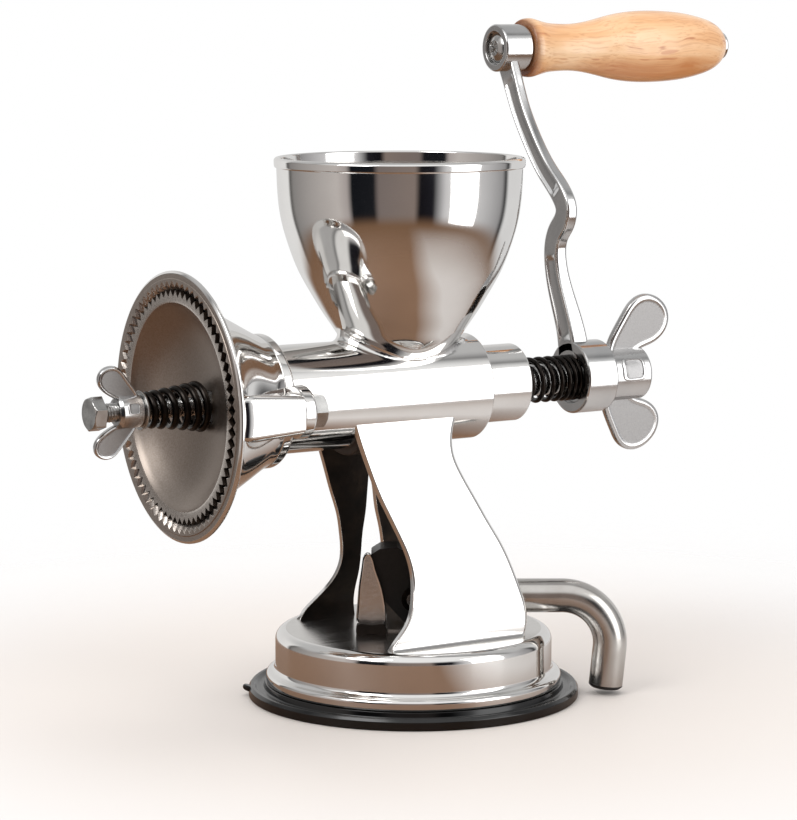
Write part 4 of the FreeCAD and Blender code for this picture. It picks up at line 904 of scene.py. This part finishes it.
def raised_plate(middle, half_across, half_around, hub):
    """A plain plate on a hub's side: a rounded square bent round the hub, with a sunk middle."""
    t = 2 * math.pi * np.arange(64) / 64
    power = 0.42
    across = half_across * np.sign(np.cos(t)) * np.abs(np.cos(t)) ** power
    around = half_around * np.sign(np.sin(t)) * np.abs(np.sin(t)) ** power
    scale = np.array([1.0, 1.0, 0.97, 0.9, 0.8, 0.76, 0.72, 0.5, 0.25, 0.0])
    lift = np.array([-1.6, 0.25, 0.6, 0.68, 0.64, 0.25, 0.15, 0.12, 0.12, 0.12]) * min(1.0, hub / 12)
    x = middle + scale[:, None] * across
    angle = math.radians(PLATE_TURN) + scale[:, None] * around / hub
    r = hub + lift[:, None] + 0 * x
    points = np.stack([x, r * np.cos(angle), r * np.sin(angle)], axis=-1) + AXIS
    sunk = np.where(np.arange(len(scale) - 1) > 3, 1, 0)
    return shell(points, ends=True, paint=sunk[:, None], end_paint=1)


# Front wing nut. A wing's levels are (inset, height) from its edge inwards
FRONT_WING = [
    (-134, 2.5), (-133.2, 5.6), (-136, 10.8), (-139.6, 15.4), (-143.2, 19.0), (-147.2, 19.6), (-150.8, 17.6),
    (-151.9, 13.8), (-150, 10.0), (-146, 7.0), (-141.6, 5.2), (-138.6, 4.2), (-138, 2.5),
]
front_levels = [(0, 0.7), (0.25, 1.2), (0.65, 1.44), (1.1, 1.42), (1.5, 1.3), (2.0, 1.28)]
front_hub = rounded(
    [(-143, 4.12), (-143, 5.6, 0.4), (-141.8, 6.9, 0.5), (-132.9, 6.9, 0.3), (-132.2, 6.4, 0.2),
     (-132.2, 4.12)],
    5,
)
piece(
    "front_adjusting_wing_nut",
    [ring_of(front_hub, 96), raised_plate(-137.4, 2.7, 2.5, 6.9)] + wings(FRONT_WING, front_levels, 110),
    "front_nut",
    [tumbled, moulded],
    ["front_wing_nut"],
)


def coil(turns, pitches, start, end, radius, wire, first=0, last=None):
    """Coils first to last about X: the wire's centre climbs by the given pitches, at
    radius(turn) from the axis."""
    marks = np.concatenate([[0.0], np.cumsum(pitches)])
    marks = start + (end - start) * marks / marks[-1]
    # Ten stands for a turn, so that the spline's own steps are about even
    fine = curve(np.column_stack([np.arange(len(marks)) * 10.0, marks]), 400)
    last = last or turns
    u = np.linspace(first, last, 48 * (last - first) + 1)
    along = np.interp(u * 10, fine[:, 0], fine[:, 1])
    angle = 2 * math.pi * u
    r = radius(u)
    path = np.column_stack([along, r * np.cos(angle), r * np.sin(angle)]) + AXIS
    outward = np.column_stack([np.zeros_like(u), np.cos(angle), np.sin(angle)])
    ring = 2 * math.pi * np.arange(20) / 20
    section = wire / 2 * np.column_stack([np.cos(ring), np.sin(ring)])
    return shell(swept(path, outward, section), ends=True)


# The cone spring, made as a front half by the washer and a rear half by the grinding cone
CONE_SPRING = {
    "turns": 6,
    "pitches": [3.55, 4.6, 5.1, 5.0, 4.5, 3.55],
    "start": -131.1 + 0.15 + 1.5,
    "end": -101.8 - 0.2 - 1.5,
    "radius": lambda u: 6.1 + 3.5 * (u / 6) ** 1.15,
    "wire": 3.0,
}
SPRING_FRONT = ("front_washer", "crank", (-0.128, 0, 0.134), (-0.118, 0, 0.134))
SPRING_REAR = ("crank", "cone", (-0.116, 0, 0.134), (-0.105, 0, 0.134))
front_coils = [coil(**CONE_SPRING, last=3)]
rear_coils = [coil(**CONE_SPRING, first=3)]
piece("conical_spring_front_coils", front_coils, SPRING_FRONT, [oxide], ["cone_spring"])
piece("conical_spring_rear_coils", rear_coils, SPRING_REAR, [oxide])

# Rear spring between the collar and the crank's hub
rear_coil = coil(
    turns=7,
    pitches=[5.4, 5.5, 5.0, 4.5, 3.5, 2.95, 2.85],
    start=51 + 0.9 + 0.2 + 1.15,
    end=84.5 - 0.15 - 1.15,
    radius=lambda u: 9.1 + 0 * u,
    wire=2.3,
)
piece("rear_pressure_spring", [rear_coil], "crank", [oxide], ["rear_spring"])

# Rear collar
collar_line = rounded([(15, 10.05), (15, 18.1), (27.2, 18.1), (27.3, 17), (51, 17, 1.0), (51, 10.05)], 6)
collar = [ring_of(collar_line, 200)]
piece("rear_bearing_collar", collar, "base", [polished], ["rear_collar"])

# Crank arm: a bent bar with a hub and a boss, hollowed along its inner face
ARM = curve(
    [(0, 6), (-2.4, 18.9), (-2.2, 38.3), (-3.4, 52), (-6.4, 59.6), (-11.2, 64.4), (-17, 67.4),
     (-20.4, 71.6), (-19.6, 78.6), (-12.9, 91.8), (-5.6, 111.8), (-2.4, 126.1), (-1.2, 139.5), (0, 152)],
    260,
)
ARM_WIDTH = [
    15, 13, 12, 11.6, 11.2, 10.8, 10.6, 10.6, 10.6, 10.4, 10.2, 10, 10, 10, 10, 10.2, 10.4, 10.8, 11.4, 12,
]
ARM_THICKNESS = curve(
    [(9, 0), (8.6, 16), (7, 40), (6, 60), (5.6, 80), (5, 110), (4.8, 140), (4.8, CRANK_RADIUS)], 200
)
ARM_FACE = 81.5


def crank_arm():
    """The arm: a bar's section with rounded edges carried along its bent middle line. Width and
    thickness change with height, and a sunk panel fades in and out along the inner face."""
    count = len(ARM)
    z = ARM[:, 1]
    width = np.interp(np.linspace(0, 1, count), np.linspace(0, 1, len(ARM_WIDTH)), ARM_WIDTH)
    thick = across_at(ARM_THICKNESS, z)
    low = np.clip((z - 15) / 5, 0, 1) * np.clip((57 - z) / 5, 0, 1)
    high = np.clip((z - 79) / 5, 0, 1) * np.clip((143 - z) / 6, 0, 1)
    depth = np.maximum(low, high)
    depth = 1.15 * depth ** 2 * (3 - 2 * depth)
    round_edge = rounded([(0, 0, 1.3), (10, 0, 1.3), (10, 10, 1.5), (0, 10, 1.5)], 6)
    face = round_edge[:, 1] < 5
    left = round_edge[:, 0] < 5
    across, deep = round_edge.T
    a = np.where(left, -0.5, 0.5) * width[:, None] + np.where(left, across, across - 10)
    b = np.where(face, 0, 1) * thick[:, None] + np.where(face, deep, deep - 10)
    panel = np.array([-1.0, -0.86, -0.72, -0.2, 0.2, 0.72, 0.86, 1.0])
    half = (width / 2 - 1.7)[:, None]
    sink = depth[:, None] * np.array([0, 0.35, 1, 1.12, 1.12, 1, 0.35, 0])
    split = int(np.argmax(~left))
    a = np.concatenate([a[:, :split], half * panel, a[:, split:]], axis=1)
    b = np.concatenate([b[:, :split], sink, b[:, split:]], axis=1)
    path = np.column_stack([np.full(count, ARM_FACE), ARM])
    return swept(path, np.array([1.0, 0, 0]), np.stack([b, a], axis=-1))


hub_line = rounded(
    [(ARM_FACE, 11.6, 0.4), (ARM_FACE, 16.15, 1.0), (97.5, 16.15, 1.2), (97.5, 7.05), (84.5, 7.05),
     (84.5, 11.6, 0.3)],
    6,
)
boss_line = rounded(
    [(78.4, 7.6, 0.4), (78.4, 10.75, 1.0), (93.2, 10.75, 1.0), (93.2, 4), (81, 4), (81, 7.6, 0.3)], 6
)
boss = turned(boss_line, "X", 128) + np.array([0, 0, CRANK_RADIUS])
arm_shells = [
    shell(turned_about(crank_arm(), CRANK_TURN) + AXIS, ends=True),
    ring_of(hub_line, 160),
    shell(turned_about(boss, CRANK_TURN) + AXIS, ring=True),
]
piece("cast_crank_arm", arm_shells, "crank", [tumbled], ["crank_arm"])


def domed_screw():
    """The spindle's screw: a dome whose middle is pressed down along a cross."""
    line = np.array(
        [(87.2, 0), (87.2, 4), (81.1, 4), (81.1, 6.6), (80.7, 6.75), (79.9, 6.5), (79.2, 5.7), (78.6, 4.6),
         (78.3, 3.8)]
    )
    rest = np.column_stack([78.1 - 0.12 * np.linspace(0, 1, 12), np.linspace(3.5, 0, 12)])
    line = np.vstack([line, rest])
    points = turned(line, "X", 120)
    flat = turned_about(points, 30)
    arm = np.minimum(np.abs(flat[..., 1]), np.abs(flat[..., 2]))
    reach = np.maximum(np.abs(flat[..., 1]), np.abs(flat[..., 2]))
    press = np.clip((0.95 - arm) / 0.35, 0, 1) * np.clip((3.4 - reach) / 0.5, 0, 1)
    points[..., 0] += 1.1 * press * (line[:, 0, None] < 79)
    return shell(turned_about(points + np.array([0, 0, CRANK_RADIUS]), CRANK_TURN) + AXIS)


piece("domed_spindle_screw", [domed_screw()], "crank", [machined], ["spindle_screw"])

# Wooden grip and its end cap
grip_line = np.vstack(
    [
        [(93.6, 6.1)],
        rounded([(93.6, 6.1), (93.6, 12.8, 0.6), (94.4, 13.1)], 4, False)[1:],
        curve(
            [(94.6, 13.2), (97.1, 13.48), (99.6, 13), (102.6, 12.2), (106.2, 11.4), (111.6, 10.9),
             (118.1, 10.73), (124.6, 11.2), (133.6, 12.8), (143.6, 15), (153.6, 16.3), (163, 16.66),
             (172.6, 16.4), (182.6, 15.5), (192.1, 13.7), (199.6, 11.2), (203.1, 8.9), (204.7, 7.3)],
            120,
        ),
        [(205.1, 6.6), (205.1, 5.5), (195.6, 5.5), (195.6, 6.1)],
    ]
)
grip_shells = [ring_of(grip_line, 160, GRIP_AXIS)]
piece("turned_wooden_grip", grip_shells, "grip", [wood], ["wooden_grip"])
cap_line = rounded(
    [(205.1, 0), (205.1, 6.5, 0.3), (206.5, 6.5, 0.8), (207.6, 5.3, 1.2), (208.0, 3.1, 1), (208.0, 0)],
    5,
    False,
)
cap_shells = [shell(turned(cap_line, "X", 96) + GRIP_AXIS)]
piece("grip_end_button", cap_shells, "grip", [polished], ["grip_end_cap"])

# Rear wing nut: hub, wings and a plain raised plate
rear_hub = rounded([(98.9, 6.12), (98.9, 11.9, 0.5), (119, 11.9, 1.4), (119, 6.12, 0.5)], 6)
REAR_WING = [
    (101, 7), (100.2, 11), (101.8, 17.2), (104.4, 22.4), (107, 27), (109.6, 31.2), (114, 35), (119.6, 36.2),
    (126, 34.2), (131, 29), (132.3, 22.6), (129.6, 17), (124, 13.2), (118.2, 11.2), (114.6, 9), (112, 7),
]
rear_levels = [(0, 0.6), (0.15, 1.25), (0.6, 1.72), (1.4, 1.95), (2.3, 1.9), (2.9, 1.75), (3.6, 1.72)]
piece(
    "rear_clamping_wing_nut",
    [ring_of(rear_hub, 128), raised_plate(108.7, 6.1, 5.4, 11.9)] + wings(REAR_WING, rear_levels, 140),
    "rear_nut",
    [tumbled, moulded],
    ["rear_wing_nut"],
)

# Bell nuts and washers on the ears' rear faces
nut_shells = []
washer_shells = []
for side in (-1, 1):
    at = AXIS + np.array([0, side * EAR_Y, EAR_Z])
    nut_shells.append(hexagon(13, EAR_REAR + 1, EAR_REAR + 7.5, at, 30, False, True, hole=4.05, depth=1.4))
    washer_shells.append(ring_of(washer(EAR_REAR, EAR_REAR + 1, 4.2, 7.6), 72, at))
piece("bell_hexagon_nuts", nut_shells, "base", [machined], ["bell_nuts"], sharp=28)
piece("bell_nut_washers", washer_shells, "base", [machined], ["bell_washers"])


# Clamp lever: a bent tube, and the plug in its lower end
def lever_path():
    """The tube's middle line in its own upright plane: level, round one bend, then down
    with a slight lean."""
    lean = math.radians(5.7)
    turn = math.pi / 2 + lean
    radius = 21.0
    corner = np.array([88.1, LEVER_AXIS_HEIGHT])
    setback = radius * math.tan(turn / 2)
    down = np.array([-math.sin(lean), -math.cos(lean)])
    start = np.column_stack([np.linspace(16.6, corner[0] - setback, 16), np.full(16, corner[1])])
    a = np.linspace(0, turn, 32)[1:-1]
    centre = corner - np.array([setback, radius])
    bend = centre + radius * np.column_stack([np.sin(a), np.cos(a)])
    drop = (corner[1] - 4.1) / math.cos(lean)
    leg = corner + np.linspace(setback, drop, 10)[:, None] * down
    flat = np.vstack([start, bend, leg])
    return np.column_stack([flat[:, 0], np.zeros(len(flat)), flat[:, 1]])


lever_line = lever_path()
TUBE_RADIUS = 7.4
tube_angle = 2 * math.pi * np.arange(64) / 64
tube_section = TUBE_RADIUS * np.column_stack([np.cos(tube_angle), np.sin(tube_angle)])
tube = swept(lever_line, np.array([0, 1.0, 0]), tube_section)
piece(
    "bent_lever_tube",
    [shell(turned_about(tube, LEVER_YAW, "Z"), ends=True)],
    "lever",
    [drawn],
    ["lever_tube"],
)

# Leaf-shaped guide plate beside the cam
leaf = closed_curve(
    [(-24.6, 34.4), (-24.7, 38), (-23.7, 50), (-22.3, 60), (-21.2, 63.6), (-19.7, 64.6), (-18.2, 63.4),
     (-16.6, 58.8), (-13.9, 50.4), (-12.1, 41.5), (-11.8, 36), (-12.4, 33.4), (-18, 32.8), (-23.8, 33)],
    140,
)
leaf_half = [(0, 0.5), (0.12, 0.85), (0.5, 1.0), (0.8, 0.85), (1.2, 0.8)]
leaf_rows = plate(leaf, [(depth, -height) for depth, height in leaf_half[::-1]] + leaf_half)
# The foot under the leaf is dark casting: painted shade below the leaf
foot = closed_curve([(-24.6, 29.8), (-18, 29.65), (-11.9, 29.8), (-12.2, 33.4), (-18, 33.8), (-24.2, 33.6)], 60)
foot_rows = plate(foot, [(0.2, -5.9), (0, -5.7), (0, 0.6), (0.2, 0.8)])
away = np.array([0, -11.9, 0])
piece(
    "leaf_guide_plate",
    [
        shell(turned_about(leaf_rows + away, LEVER_YAW, "Z"), ends=True, end_paint=1),
        shell(turned_about(foot_rows + away, LEVER_YAW, "Z"), ends=True, paint=2, end_paint=2),
    ],
    "base",
    [polished, linished, casting_and_shade],
    ["cam_guide"],
)

# CAD nodes that stay: each gets the finish of the real piece, and the cam's black coat is painted shade
KEPT = {
    "stud_guide": bronze,
    "pad_plate": machined,
    "pull_stud": machined,
    "lever_pivot_pin": machined,
    "pivot_clips": oxide,
    # The cam's black is painted shade
    "lever_cam": black_coat_and_shade,
    "lever_cross_pin": machined,
    "lever_end_cap": black_coat_and_shade,
    "cam_wear_plate": machined,
    "bell_studs": machined,
    "feed_screw": machined,
    "rear_bushing": bronze,
    "thrust_washer": machined,
    "spring_washer": machined,
    "grip_spindle": machined,
    "grip_lining": machined,
}
for name, coat in KEPT.items():
    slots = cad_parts[name].material_slots
    if not slots:
        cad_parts[name].data.materials.append(coat)
    for slot in slots:
        slot.material = coat


def aimed(seat, target):
    """The placing of a camera or lamp at a seat, in metres: it faces a target, top up."""
    seat, target = np.array(seat, float), np.array(target, float)
    ahead = (target - seat) / np.linalg.norm(target - seat)
    right = np.cross(ahead, [0, 0, 1])
    right /= np.linalg.norm(right)
    matrix = np.eye(4)
    matrix[:3] = np.column_stack([right, np.cross(right, ahead), -ahead, seat])
    return matrix.T.tolist()


# Camera at the photograph's angle
camera = bpy.data.cameras.new("camera")
camera.lens = 135.4
camera.sensor_width = 36
camera.clip_end = 20
viewer = bpy.data.objects.new("camera", camera)
bpy.context.collection.objects.link(viewer)
viewer.matrix_world = aimed((-0.6912, -1.1275, 0.304), (-0.0076, 0, 0.1255))
bpy.context.scene.camera = viewer


def floor_coat():
    """A pale matt floor round the object that fades away before its edge. It is lit, so it keeps
    the shadow. The metal sees a brown board there that ends on the object's right."""
    coat, tree, shader, place = finish("pale_floor", {"Roughness": 0.55})
    far = add(tree, "ShaderNodeVectorMath", {0: place}, operation="LENGTH")
    fade = add(
        tree,
        "ShaderNodeMapRange",
        {"Value": far.outputs["Value"], "From Min": 0.12, "From Max": FLOOR_REACH},
        interpolation_type="SMOOTHSTEP",
    )
    pale = [(0.0, "#ece4dc"), (0.6, "#f6f2ee")]
    tone = add(tree, "ShaderNodeValToRGB", {"Fac": fade.outputs[0]}, pale).outputs[0]
    turn = add(tree, "ShaderNodeMapping", {"Vector": place, "Rotation": (0, 0, math.radians(31.2))})
    across = add(tree, "ShaderNodeSeparateXYZ", {"Vector": turn.outputs[0]}).outputs["X"]
    edge = add(tree, "ShaderNodeMapRange", {"Value": across, "From Min": 0.05, "From Max": 0.14})
    brown = [(0.0, "#85644a"), (1.0, "#d9d4cf")]
    board = add(tree, "ShaderNodeValToRGB", {"Fac": edge.outputs[0]}, brown).outputs[0]
    glossy = add(tree, "ShaderNodeLightPath").outputs["Is Glossy Ray"]
    seen = add(tree, "ShaderNodeMixRGB", {"Fac": glossy, "Color1": tone, "Color2": board})
    tree.links.new(seen.outputs[0], shader.inputs["Base Color"])
    gone = add(tree, "ShaderNodeBsdfTransparent")
    both = add(tree, "ShaderNodeMixShader", {0: fade.outputs[0], 1: shader.outputs[0], 2: gone.outputs[0]})
    tree.links.new(both.outputs[0], tree.nodes["Material Output"].inputs["Surface"])
    return coat


FLOOR_REACH = 0.5
round_floor = 2 * math.pi * np.arange(96) / 96
floor_mesh = bpy.data.meshes.new("floor")
floor_points = FLOOR_REACH * np.column_stack([np.cos(round_floor), np.sin(round_floor), 0 * round_floor])
floor_mesh.from_pydata(floor_points.tolist(), [], [list(range(96))])
floor_mesh.materials.append(floor_coat())
floor = bpy.data.objects.new("floor", floor_mesh)
floor.location = (0, 0, -0.0001)
bpy.context.collection.objects.link(floor)

# Studio surroundings: plain white to the camera, and a soft light for matt surfaces. Metal sees
# a pale room with black screens on its sides, a ceiling that is white towards the viewer and
# grey behind, and a warm brown floor
world = bpy.data.worlds.new("studio")
bpy.context.scene.world = world
world.use_nodes = True
air = world.node_tree
air.nodes.clear()
direction = add(air, "ShaderNodeTexCoord").outputs["Generated"]
facing = add(air, "ShaderNodeMapping", {"Vector": direction, "Rotation": (0, 0, math.radians(121.5))})
toward, sideways, upward = add(air, "ShaderNodeSeparateXYZ", {"Vector": facing.outputs[0]}).outputs
compass = add(air, "ShaderNodeMath", {0: sideways, 1: toward}, operation="ARCTAN2")
whole_turn = {"Value": compass.outputs[0], "From Min": -math.pi, "From Max": math.pi}
bearing = add(air, "ShaderNodeMapRange", whole_turn)


def bearings(stops):
    """A ramp's stops from bearings in degrees, where 0 is towards the viewer."""
    return [((degrees + 180) / 360, code) for degrees, code in stops]


screens = add(
    air,
    "ShaderNodeValToRGB",
    {"Fac": bearing.outputs[0]},
    bearings(
        [
            (-180, "#dcdbda"),
            (-128, "#f2f1f0"),
            (-124, "#5a5856"),
            (-118, "#8f8c8a"),
            (-60, "#c9c2be"),
            (-50, "#b5adaa"),
            (-45, "#16181c"),
            (-24, "#1b1c20"),
            (-19, "#7f7470"),
            (14, "#8b7d76"),
            (19, "#141317"),
            (32, "#1f1e24"),
            (44, "#dad9da"),
            (56, "#f6f6f6"),
            (82, "#d2d1d2"),
            (112, "#9f9e9f"),
            (118, "#2b2b2c"),
            (124, "#e6e6e6"),
            (180, "#dcdbda"),
        ]
    ),
)
rise = add(
    air,
    "ShaderNodeMapRange",
    {"Value": upward, "From Min": 0.3, "From Max": 0.62},
    interpolation_type="SMOOTHSTEP",
)
nearer = add(
    air,
    "ShaderNodeMapRange",
    {"Value": toward, "From Min": -0.25, "From Max": 0.2},
    interpolation_type="SMOOTHSTEP",
)
greys = [(0.0, "#c6c6c6"), (0.5, "#8c8c8c"), (1.0, "#ffffff")]
ceiling = add(air, "ShaderNodeValToRGB", {"Fac": nearer.outputs[0]}, greys)
walls = add(
    air,
    "ShaderNodeMixRGB",
    {"Fac": rise.outputs[0], "Color1": screens.outputs[0], "Color2": ceiling.outputs[0]},
)
fall = add(
    air,
    "ShaderNodeMapRange",
    {"Value": upward, "From Min": -0.3, "From Max": -0.46},
    interpolation_type="SMOOTHSTEP",
)
room = add(
    air,
    "ShaderNodeMixRGB",
    {"Fac": fall.outputs[0], "Color1": walls.outputs[0], "Color2": linear("#7f614a")},
)
ray = add(air, "ShaderNodeLightPath")
metal_view = add(air, "ShaderNodeBackground", {"Color": room.outputs[0], "Strength": 1.0})
white_view = add(air, "ShaderNodeBackground", {"Color": (1, 1, 1, 1), "Strength": 1.0})
soft_light = add(air, "ShaderNodeBackground", {"Color": linear("#fbfbff"), "Strength": 0.72})
straight = {0: ray.outputs["Is Camera Ray"], 1: ray.outputs["Is Transmission Ray"]}
clear = add(air, "ShaderNodeMath", straight, operation="MAXIMUM").outputs[0]
plain_view = add(
    air, "ShaderNodeMixShader", {0: clear, 1: soft_light.outputs[0], 2: white_view.outputs[0]}
)
glossy = ray.outputs["Is Glossy Ray"]
view = add(air, "ShaderNodeMixShader", {0: glossy, 1: plain_view.outputs[0], 2: metal_view.outputs[0]})
add(air, "ShaderNodeOutputWorld", {"Surface": view.outputs[0]})


def softbox(name, seat, target, width, height, power):
    """A soft rectangular lamp at seat that faces target, in metres and watts."""
    lamp = bpy.data.lights.new(name, "AREA")
    lamp.shape = "RECTANGLE"
    lamp.size, lamp.size_y = width, height
    lamp.energy = power
    made = bpy.data.objects.new(name, lamp)
    bpy.context.collection.objects.link(made)
    made.matrix_world = aimed(seat, target)
    return made


softbox("key_softbox", (-1.3, -0.3, 1.3), (0, 0, 0.12), 0.9, 0.9, 10)
softbox("side_softbox", (0.78, -1.28, 0.4), (0, 0, 0.12), 0.85, 1.8, 9)
softbox("top_softbox", (0.1, 0.3, 1.6), (0, 0, 0.1), 1.2, 1.2, 8).visible_glossy = False

bpy.context.scene.view_settings.view_transform = "Standard"
